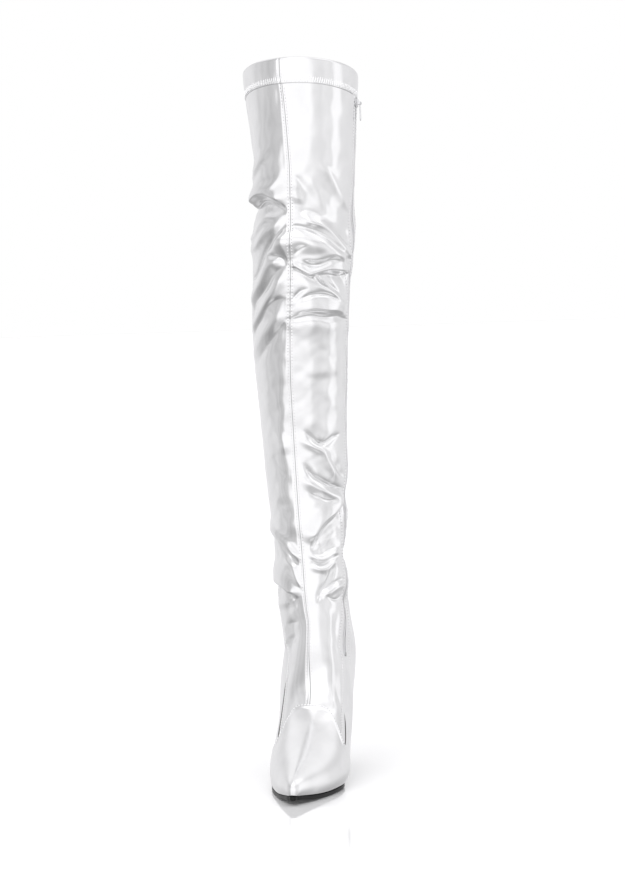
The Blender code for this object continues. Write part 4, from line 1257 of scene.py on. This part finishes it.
def seam_rows():
    """Stitch rows on the leather: both sides of the front seam, the side seams, the zip and the arch."""
    top = HEM_FOOT - ROW_END
    front_lift = PANEL_REST - STITCH_SINK
    t = np.linspace(ARCH_TOP + ROW_END, top, SEAM_POINTS)
    half = half_girth(t)
    rows = [(t, front_seam(t) + side * FRONT_EDGE.stitch / half, front_lift + FRONT_EDGE.raised)
            for side in (-1, 1)]
    t = np.linspace(vamp_back(NOTCH_U) + SIDE_ROW_ABOVE_NOTCH, top, SEAM_POINTS)
    half = half_girth(t)
    zip_off = zip_gap(t) + ZIP_EDGE.stitch
    rows.append((t, -side_seam(t, -1) + SIDE_EDGE.stitch / half, front_lift + SIDE_EDGE.raised))
    rows.append((t, side_seam(t) - zip_off / half, front_lift + ZIP_EDGE.raised))
    t = np.linspace(ZIP_FOOT + ZIP_ROW_ABOVE_FOOT, top, ZIP_SEAM_POINTS)
    zip_off = zip_gap(t) + ZIP_EDGE.stitch
    rows.append((t, side_seam(t) + zip_off / half_girth(t), ZIP_EDGE.raised - STITCH_SINK))
    u = np.linspace(-NOTCH_U, NOTCH_U, ARCH_POINTS)
    rows.append((vamp_back(u) - ARCH_EDGE.stitch, u, VAMP_REST + ARCH_EDGE.raised - STITCH_SINK))
    return rows


def make_seam_stitches(tree_parts, finish):
    rows = [row_of_stitches(*row, STITCH_START) for row in seam_rows()]
    return lay_instances("seam_stitches", tree_parts, rows, STITCH_SIZE, finish)


def make_hole_shade_beads(tree_parts, finish):
    """A small dark bead between every two stitches of a row: painted shade in the needle hole."""
    rows = [row_of_stitches(*row, HOLE_START) for row in seam_rows()]
    return lay_instances("hole_shade_beads", tree_parts, rows, HOLE_SIZE, finish)


def make_hem_stitches(tree_parts, finish):
    """The slanted stitches that hold the hem down, and the front seam's two rows over the hem."""
    count = int(round(2 * half_girth(COLLAR) / ZIGZAG_STEP))
    point, around, along, outward = collar_axes(np.linspace(-ZIGZAG_BACK, ZIGZAG_BACK, count))
    point = point + (along * (ZIGZAG_UP - HEM_TALL) + outward * ZIGZAG_LIFT) * MM
    rows = [(point, unit(along * ZIGZAG_TALL + around * ZIGZAG_SLANT), outward)]
    rise = np.arange(HEM_ROW_START - HEM_TALL, -HEM_ROW_END, STITCH_PITCH)
    for side in (-1, 1):
        u = np.full(rise.shape, front_seam(COLLAR) + side * FRONT_EDGE.stitch / half_girth(COLLAR))
        point, _, along, outward = collar_axes(u)
        rows.append((point + (along * rise[:, None] + outward * HEM_ROW_LIFT) * MM, along, outward))
    return lay_instances("hem_stitches", tree_parts, rows, ZIGZAG_SIZE, finish)


def make_zip_teeth(tree_parts, finish):
    """The closed coil: short bars across the zip, from its two tapes in turn."""
    t = np.linspace(ZIP_FOOT + TEETH_ABOVE_FOOT, HEM_FOOT - SLIDER_LONG - SLIDER_UNDER_HEM, SEAM_POINTS)
    t, u = even_places(t, side_seam(t), TOOTH_LIFT, TOOTH_STEP / 2, STITCH_START)
    side = np.where(np.arange(len(t)) % 2, 1.0, -1.0)
    point, around, _, out = drape_axes(t, u + side * TOOTH_OFF / half_girth(t), TOOTH_LIFT)
    return lay_instances("zip_teeth", tree_parts, [(point, around, out)], TOOTH_SIZE, finish)


def rounded_outline(half_width, low, high, corner):
    """Points round a plate with round corners, in the plane across and up."""
    points = []
    for x, z, first in ((half_width, high, 0), (-half_width, high, 90), (-half_width, low, 180),
                        (half_width, low, 270)):
        centre_x = x - math.copysign(corner, x)
        centre_z = z - corner if z == high else z + corner
        for k in range(CORNER_POINTS + 1):
            angle = math.radians(first + 90 * k / CORNER_POINTS)
            points.append((centre_x + corner * math.cos(angle), centre_z + corner * math.sin(angle)))
    return points


def bevelled_plate(outline, thickness, bevel, out, metal):
    """A plate with eased edges: its outline is drawn in at the two faces."""
    points = np.array(outline)
    centre = points.mean(axis=0)
    size = np.abs(points - centre).max(axis=0)
    rings = []
    for share, level in BEVEL_RINGS:
        drawn = centre + (points - centre) * (1 - bevel * share / size)
        rings.append([(x, out + level * thickness, z) for x, z in drawn])
    return closed_loft("plate", np.array(rings) * MM, metal)


def round_plate(plate, metal):
    outline = rounded_outline(plate.half_width, plate.low, plate.high, plate.corner)
    return bevelled_plate(outline, plate.thick, plate.bevel, plate.out, metal)


def make_eye(metal):
    """The pull's round eye about the pin."""
    a = np.linspace(0, 2 * math.pi, EYE_ROUND, endpoint=False)[:, None]
    b = np.linspace(0, 2 * math.pi, EYE_WIRE_ROUND, endpoint=False)[None, :]
    reach = EYE_RADIUS + EYE_WIRE * np.cos(b)
    sides = np.broadcast_arrays(EYE_HALF_WIDTH * np.sin(b), reach * np.cos(a), reach * np.sin(a))
    eye = mesh_object("eye", np.stack(sides, -1) * MM, grid_faces(EYE_ROUND, EYE_WIRE_ROUND, 0, True, True),
                      [metal])
    face_outward(eye)
    return eye


def join_pieces(name, pieces, place):
    """One object from several of one material, with its place in its mesh."""
    shape = bmesh.new()
    finish = pieces[0].data.materials[0]
    for piece in pieces:
        shape.from_mesh(piece.data)
        bpy.data.objects.remove(piece)
    mesh = bpy.data.meshes.new(name)
    shape.to_mesh(mesh)
    shape.free()
    mesh.transform(place)
    mesh.materials.append(finish)
    return put_in_scene(name, mesh)


def placed_axes(place, across, outward, along):
    """A placement at a point, with the three axes of a piece."""
    return Matrix.Translation(place) @ Matrix((across, outward, along)).transposed().to_4x4()


def make_pull(metal):
    """The tab on the slider's pin: a round-ended plate with a rib, hanging from its eye."""
    joint = frame["joints"][0]
    across = Vector(joint["axis"]).normalized()
    up = Vector((0, 0, 1))
    pieces = [round_plate(PULL_TAB, metal), make_eye(metal), round_plate(PULL_STEM, metal),
              round_plate(PULL_RIB, metal)]
    place = placed_axes(Vector(joint["pos_m"]), across, up.cross(across), up)
    return join_pieces("zip_pull_tab", pieces, place)


def make_slider(metal):
    """Two flared plates with the teeth between them, two lugs and the pin."""
    pieces = [bevelled_plate(SLIDER_OUTLINE, thick, SLIDER_BEVEL, middle, metal)
              for middle, thick in SLIDER_PLATES]
    pieces.append(round_plate(SLIDER_BRIDGE, metal))
    for side in (-1, 1):
        rings = [[(x + side * LUG_ACROSS, out, z * size) for x, z in rounded_outline(*LUG_OUTLINE)]
                 for out, size in LUG_RINGS]
        pieces.append(closed_loft("lug", np.array(rings) * MM, metal))
    turn = np.linspace(0, 2 * math.pi, PIN_ROUND, endpoint=False)
    rings = [[(x, PIN_OUT + PIN_RADIUS * math.cos(a), PIN_RADIUS * math.sin(a)) for a in turn]
             for x in PIN_ACROSS]
    pieces.append(closed_loft("pin", np.array(rings) * MM, metal))
    t = np.array([HEM_FOOT - SLIDER_LONG / 2 - SLIDER_UNDER_HEM])
    point, around, along, outward = (vectors[0] for vectors in skin_axes(t, side_seam(t)))
    place = placed_axes(Vector(point + outward * SLIDER_LIFT * MM), Vector(-around), Vector(outward),
                        Vector(along))
    return join_pieces("zip_slider_body", pieces, place)


# Shader groups and materials

def group_with(name, inputs, outputs):
    """An empty shader group of single values, with the sockets that it is given and that it fills."""
    tree = bpy.data.node_groups.new(name, "ShaderNodeTree")
    for label, value in inputs.items():
        socket = tree.interface.new_socket(label, in_out="INPUT", socket_type="NodeSocketFloat")
        socket.default_value = value
    for label in outputs:
        tree.interface.new_socket(label, in_out="OUTPUT", socket_type="NodeSocketFloat")
    return tree, tree.nodes.new("NodeGroupInput").outputs, tree.nodes.new("NodeGroupOutput").inputs


def math_node(tree, operation, *values):
    """One maths step on numbers and on the outputs of other nodes."""
    return add_node(tree, "ShaderNodeMath", dict(enumerate(values)), operation=operation).outputs[0]


def noise_node(tree, place, scale, detail, roughness=0.5):
    inputs = {"Vector": place, "Scale": scale, "Detail": detail, "Roughness": roughness}
    return add_node(tree, "ShaderNodeTexNoise", inputs).outputs["Fac"]


def object_place(tree):
    return add_node(tree, "ShaderNodeTexCoord").outputs["Object"]


def leather_grain_group():
    """Fine pebble, soft dimples and small wrinkles of coated leather: Height in mm, and Mottle."""
    tree, given, result = group_with(
        "leather_grain", {"Pebble": 0.02, "Dimple": 0.06, "Wrinkle": 0.08}, ["Height", "Mottle"])
    place = object_place(tree)
    cells = add_node(tree, "ShaderNodeTexVoronoi", {"Vector": place, "Scale": PEBBLES})
    pebble = math_node(tree, "MULTIPLY", cells.outputs["Distance"], given["Pebble"])
    dimple = math_node(tree, "MULTIPLY", noise_node(tree, place, DIMPLES, detail=2.0), given["Dimple"])
    stretch = add_node(tree, "ShaderNodeMapping", {"Vector": place, "Scale": WRINKLE_STRETCH})
    creases = noise_node(tree, stretch.outputs["Vector"], scale=1.0, detail=3.0, roughness=0.6)
    ridge = math_node(tree, "ABSOLUTE", math_node(tree, "SUBTRACT", creases, 0.5))
    wrinkle = math_node(tree, "MULTIPLY", ridge, given["Wrinkle"])
    height = math_node(tree, "ADD", math_node(tree, "ADD", pebble, dimple), wrinkle)
    tree.links.new(height, result["Height"])
    tree.links.new(noise_node(tree, place, MOTTLES, detail=4.0, roughness=0.6), result["Mottle"])
    return tree


def weave_group():
    """Over-and-under threads of a knit or a tape: Height."""
    tree, given, result = group_with("weave", {"Threads": 900.0}, ["Height"])
    place = object_place(tree)
    heights = []
    for direction in ("X", "Z"):
        inputs = {"Vector": place, "Scale": given["Threads"], "Distortion": 0.6}
        wave = add_node(tree, "ShaderNodeTexWave", inputs, bands_direction=direction)
        heights.append(wave.outputs["Fac"])
    tree.links.new(math_node(tree, "MULTIPLY", *heights), result["Height"])
    return tree


def new_material(name, colour, roughness, metallic=0.0):
    material = bpy.data.materials.new(name)
    material.use_nodes = True
    shader = material.node_tree.nodes["Principled BSDF"]
    shader.inputs["Base Color"].default_value = (*colour, 1.0)
    shader.inputs["Roughness"].default_value = roughness
    shader.inputs["Metallic"].default_value = metallic
    return material, material.node_tree, shader


def add_group(tree, group, **values):
    """A use of a shader group; its outputs."""
    return add_node(tree, "ShaderNodeGroup", values, node_tree=group).outputs


def add_bump(tree, shader, height, strength, distance):
    bump = add_node(tree, "ShaderNodeBump", {"Height": height, "Strength": strength, "Distance": distance})
    tree.links.new(bump.outputs["Normal"], shader.inputs["Normal"])


def vary_roughness(tree, shader, mottle, low, high):
    start, end = MOTTLE_SPAN
    inputs = {"Value": mottle, "From Min": start, "From Max": end, "To Min": low, "To Max": high}
    spread = add_node(tree, "ShaderNodeMapRange", inputs)
    tree.links.new(spread.outputs["Result"], shader.inputs["Roughness"])


def vary_colour(tree, shader, mottle, dark, light):
    ramp = add_node(tree, "ShaderNodeValToRGB", {"Fac": mottle})
    for element, place, colour in zip(ramp.color_ramp.elements, MOTTLE_SPAN, (dark, light)):
        element.position = place
        element.color = (*colour, 1.0)
    tree.links.new(ramp.outputs["Color"], shader.inputs["Base Color"])


def silver_leather(name, grain, roughness, wrinkle):
    """Bright silver foil on soft leather under a thin clear coat."""
    material, tree, shader = new_material(name, (0.90, 0.90, 0.903), roughness, metallic=1.0)
    grown = add_group(tree, grain, Pebble=0.010, Dimple=0.05, Wrinkle=wrinkle)
    vary_colour(tree, shader, grown["Mottle"], dark=(0.86, 0.86, 0.864), light=(0.93, 0.93, 0.934))
    vary_roughness(tree, shader, grown["Mottle"], low=roughness - 0.03, high=roughness + 0.05)
    shader.inputs["Coat Weight"].default_value = 0.25
    shader.inputs["Coat Roughness"].default_value = 0.05
    add_bump(tree, shader, grown["Height"], strength=0.5, distance=MM)
    return material


def shade_painted_leather(name, grain, dark, light):
    """Dark matt finish with the leather's grain: painted shade, for the slit along the quarter's cut edge and
    for the needle holes.
    """
    material, tree, shader = new_material(name, light, roughness=0.75)
    grown = add_group(tree, grain, Pebble=0.2, Dimple=0.2, Wrinkle=0.0)
    vary_colour(tree, shader, grown["Mottle"], dark, light)
    vary_roughness(tree, shader, grown["Mottle"], low=0.65, high=0.85)
    return material


def black_rubber(grain):
    """Satin black rubber of the sole and the heel's lift."""
    material, tree, shader = new_material("black_rubber", (0.006, 0.006, 0.006), roughness=0.36)
    grown = add_group(tree, grain, Pebble=0.05, Dimple=0.04, Wrinkle=0.0)
    vary_colour(tree, shader, grown["Mottle"], dark=(0.004, 0.004, 0.004), light=(0.010, 0.010, 0.010))
    vary_roughness(tree, shader, grown["Mottle"], low=0.26, high=0.42)
    shader.inputs["Specular IOR Level"].default_value = 0.25
    add_bump(tree, shader, grown["Height"], strength=0.5, distance=MM)
    return material


def knit_lining(weave, name, colour, threads):
    """Matt knit, a little lighter and darker in places."""
    material, tree, shader = new_material(name, colour, roughness=0.9)
    woven = add_group(tree, weave, Threads=threads)
    cloud = noise_node(tree, object_place(tree), scale=45.0, detail=3.0)
    dark = tuple(c * 0.86 for c in colour)
    light = tuple(min(c * 1.10, 1.0) for c in colour)
    vary_colour(tree, shader, cloud, dark, light)
    shader.inputs["Sheen Weight"].default_value = 0.3
    add_bump(tree, shader, woven["Height"], strength=0.6, distance=0.2 * MM)
    return material


def zip_tape_cloth(weave):
    """Silver-grey woven tape."""
    material, tree, shader = new_material("zip_tape_cloth", (0.84, 0.84, 0.85), roughness=0.5, metallic=0.3)
    woven = add_group(tree, weave, Threads=1100.0)
    vary_colour(tree, shader, woven["Height"], dark=(0.74, 0.74, 0.75), light=(0.90, 0.90, 0.91))
    add_bump(tree, shader, woven["Height"], strength=0.7, distance=0.25 * MM)
    return material


def sewing_thread(weave):
    """Pale silver thread with its twist."""
    material, tree, shader = new_material("silver_thread", (0.90, 0.90, 0.90), roughness=0.45)
    woven = add_group(tree, weave, Threads=1700.0)
    vary_colour(tree, shader, woven["Height"], dark=(0.84, 0.84, 0.845), light=(0.97, 0.97, 0.972))
    add_bump(tree, shader, woven["Height"], strength=0.5, distance=0.1 * MM)
    return material


def silver_coil(grain):
    """The zip's silver-coated coil, softer than the slider's metal."""
    material, tree, shader = new_material("silver_coil", (0.92, 0.92, 0.925), roughness=0.4, metallic=0.5)
    grown = add_group(tree, grain, Pebble=0.0, Dimple=0.02, Wrinkle=0.0)
    vary_roughness(tree, shader, grown["Mottle"], low=0.32, high=0.5)
    return material


def polished_metal(grain):
    """Slightly worn bright metal of the slider and its pull."""
    material, tree, shader = new_material("polished_metal", (0.83, 0.83, 0.84), roughness=0.2, metallic=1.0)
    grown = add_group(tree, grain, Pebble=0.0, Dimple=0.02, Wrinkle=0.02)
    vary_roughness(tree, shader, grown["Mottle"], low=0.14, high=0.30)
    add_bump(tree, shader, grown["Height"], strength=0.3, distance=MM)
    return material


# Stage, light and camera

def mix_shaders(tree, share, first, second):
    """A mix of two shaders, by a number or by another node's output."""
    inputs = {0: share, 1: first.outputs[0], 2: second.outputs[0]}
    return add_node(tree, "ShaderNodeMixShader", inputs).outputs[0]


def make_floor():
    """A pale floor with a soft gloss. It shows in no reflection, so the boot mirrors the studio there."""
    material = bpy.data.materials.new("pale_floor")
    material.use_nodes = True
    tree = material.node_tree
    tree.nodes.clear()
    matt = add_node(tree, "ShaderNodeBsdfDiffuse", {"Color": (0.90, 0.90, 0.905, 1.0)})
    gloss = add_node(tree, "ShaderNodeBsdfGlossy", {"Color": (1.0, 1.0, 1.0, 1.0), "Roughness": FLOOR_BLUR})
    add_node(tree, "ShaderNodeOutputMaterial", {"Surface": mix_shaders(tree, FLOOR_GLOSS, matt, gloss)})
    mesh = bpy.data.meshes.new("floor")
    corners = [(x * FLOOR_REACH, y * FLOOR_REACH, 0) for x, y in ((-1, -1), (1, -1), (1, 1), (-1, 1))]
    mesh.from_pydata(corners, [], [(0, 1, 2, 3)])
    mesh.materials.append(material)
    floor = put_in_scene("floor", mesh)
    floor.visible_glossy = False


def brightness_ramp(tree, stops, value):
    """A ramp that gives a brightness for each stop, from the first to the last."""
    ramp = add_node(tree, "ShaderNodeValToRGB", {"Fac": value})
    elements = ramp.color_ramp.elements
    while len(elements) < len(stops):
        elements.new(0.5)
    low, high = stops[0][0], stops[-1][0]
    for element, (place, light) in zip(elements, stops):
        element.position = (place - low) / (high - low)
        element.color = (*(light * tint for tint in STUDIO_TINT), 1.0)
    return ramp.outputs["Color"]


def make_studio():
    """Soft studio surroundings: a bright front, a greyer left, a pale right, white where seen."""
    world = bpy.data.worlds.new("studio")
    bpy.context.scene.world = world
    world.use_nodes = True
    tree = world.node_tree
    tree.nodes.clear()
    sight = add_node(tree, "ShaderNodeTexCoord").outputs["Generated"]
    way = add_node(tree, "ShaderNodeSeparateXYZ", {"Vector": sight}).outputs
    bearing = math_node(tree, "ARCTAN2", way["X"], math_node(tree, "MULTIPLY", way["Y"], -1.0))
    turned = math_node(tree, "SUBTRACT", bearing, math.radians(CAMERA_TURN))
    wrapped = math_node(tree, "WRAP", turned, math.pi, -math.pi)
    share = math_node(tree, "MULTIPLY_ADD", wrapped, 0.5 / math.pi, 0.5)
    walls = brightness_ramp(tree, STUDIO_WALLS, share)
    level = math_node(tree, "MULTIPLY_ADD", way["Z"], 0.5, 0.5)
    heights = brightness_ramp(tree, STUDIO_HEIGHTS, level)
    mix = add_node(tree, "ShaderNodeMix", {"Factor": 1.0, MIX_FIRST: walls, MIX_SECOND: heights},
                   data_type="RGBA", blend_type="MULTIPLY")
    room = add_node(tree, "ShaderNodeBackground", {"Color": mix.outputs[MIX_RESULT]})
    white = add_node(tree, "ShaderNodeBackground", {"Color": (1.0, 1.0, 1.0, 1.0)})
    seen = add_node(tree, "ShaderNodeLightPath").outputs["Is Camera Ray"]
    add_node(tree, "ShaderNodeOutputWorld", {"Surface": mix_shaders(tree, seen, room, white)})


def make_soft_light(name, power, tip, turn):
    """A wide soft light on cloth, thread and floor, tipped from overhead and turned to one side."""
    light = bpy.data.lights.new(name, "SUN")
    light.angle = math.radians(LIGHT_SPREAD)
    light.energy = power
    lamp = put_in_scene(name, light)
    lamp.rotation_euler = (math.radians(tip), 0, math.radians(turn))
    lamp.visible_glossy = False


def make_camera():
    camera = bpy.data.cameras.new("camera")
    camera.lens = CAMERA_LENS
    camera.sensor_width = CAMERA_SENSOR
    camera.sensor_fit = "AUTO"
    camera.clip_end = CAMERA_SIGHT
    turn, pitch, roll = (math.radians(a) for a in (CAMERA_TURN, CAMERA_PITCH, CAMERA_ROLL))
    look = Vector((-math.sin(turn) * math.cos(pitch), math.cos(turn) * math.cos(pitch), -math.sin(pitch)))
    right = Vector((math.cos(turn), math.sin(turn), 0.0))
    up = right.cross(look)
    rolled_right = right * math.cos(roll) + up * math.sin(roll)
    rolled_up = up * math.cos(roll) - right * math.sin(roll)
    place = Vector((BOOT_MIDDLE[0] + math.sin(turn) * CAMERA_AWAY,
                    BOOT_MIDDLE[1] - math.cos(turn) * CAMERA_AWAY, CAMERA_UP))
    holder = put_in_scene("camera", camera)
    holder.matrix_world = placed_axes(place, rolled_right, rolled_up, -look)
    bpy.context.scene.camera = holder


def wear(piece, body, slot, *nodes):
    """Let a piece ride on a body and stand for the named nodes. The slot is not used."""
    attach(piece, body)
    if nodes:
        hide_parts(*nodes)


def make_upper(grain, toe_leather, lining):
    """The panels, the toe piece and the hem."""
    leather = silver_leather("silver_leather", grain, roughness=0.15, wrinkle=0.10)
    # Painted shade: near black on the quarter's cut edge, for the dark slit by the foot's side seams
    slit_shade = shade_painted_leather("painted_slit_shade", grain, dark=(0.04, 0.04, 0.04), light=(0.06, 0.06, 0.06))
    wear(make_front_panel("front_panel_outer", -1, leather, lining), "boot", "silver_leather",
         "upper", "outer_side_seam")
    wear(make_front_panel("front_panel_inner", 1, leather, lining), "boot", "silver_leather",
         "front_seam", "inner_side_seam")
    wear(make_quarter(leather, lining, slit_shade), "boot", "silver_leather")
    wear(make_vamp(toe_leather, lining), "boot", "silver_leather", "vamp")
    wear(make_hem(leather), "boot", "silver_leather", "hem_band")


def make_bottom(grain, toe_leather):
    """The sole, the covered heel and its lift."""
    rubber = black_rubber(grain)
    wear(make_outsole(rubber), "boot", "black_sole", "outsole")
    wear(make_heel(toe_leather), "boot", "silver_leather", "heel")
    wear(make_heel_lift(rubber), "boot", "black_sole", "heel_lift")


def make_sewing(grain, weave):
    """The stitches with beads of painted shade in their needle holes, and the zip's tapes and teeth."""
    thread = sewing_thread(weave)
    # Painted shade: the dark of the needle holes, on small dark beads
    hole = shade_painted_leather("needle_hole_painted_shade", grain, dark=(0.13, 0.13, 0.134), light=(0.19, 0.19, 0.195))
    stitch, tooth = instance_tree("stitches", stitch_shape), instance_tree("teeth", tooth_shape)
    wear(make_zip_tape(zip_tape_cloth(weave)), "boot", "zip_tape", "zip")
    wear(make_seam_stitches(stitch, thread), "boot", "silver_leather")
    wear(make_hole_shade_beads(stitch, hole), "boot", "silver_leather")
    wear(make_hem_stitches(stitch, thread), "boot", "silver_leather")
    wear(make_zip_teeth(tooth, silver_coil(grain)), "boot", "zip_metal")


def main():
    bpy.context.scene.view_settings.view_transform = "Standard"
    make_camera()
    make_studio()
    for light in LIGHTS:
        make_soft_light(*light)
    make_floor()
    grain, weave = leather_grain_group(), weave_group()
    toe_leather = silver_leather("silver_leather_toe", grain, roughness=0.20, wrinkle=0.05)
    lining = knit_lining(weave, "pale_knit_lining", (0.55, 0.53, 0.50), threads=700.0)
    make_upper(grain, toe_leather, lining)
    make_bottom(grain, toe_leather)
    make_sewing(grain, weave)
    metal = polished_metal(grain)
    wear(make_slider(metal), "boot", "zip_metal", "zip_slider")
    wear(make_pull(metal), "zip_pull", "zip_metal", "zip_pull")
    insole = frame["nodes"]["insole"]
    insole.data.materials.clear()
    insole.data.materials.append(knit_lining(weave, "insole_cover", (0.60, 0.58, 0.55), threads=520.0))


main()
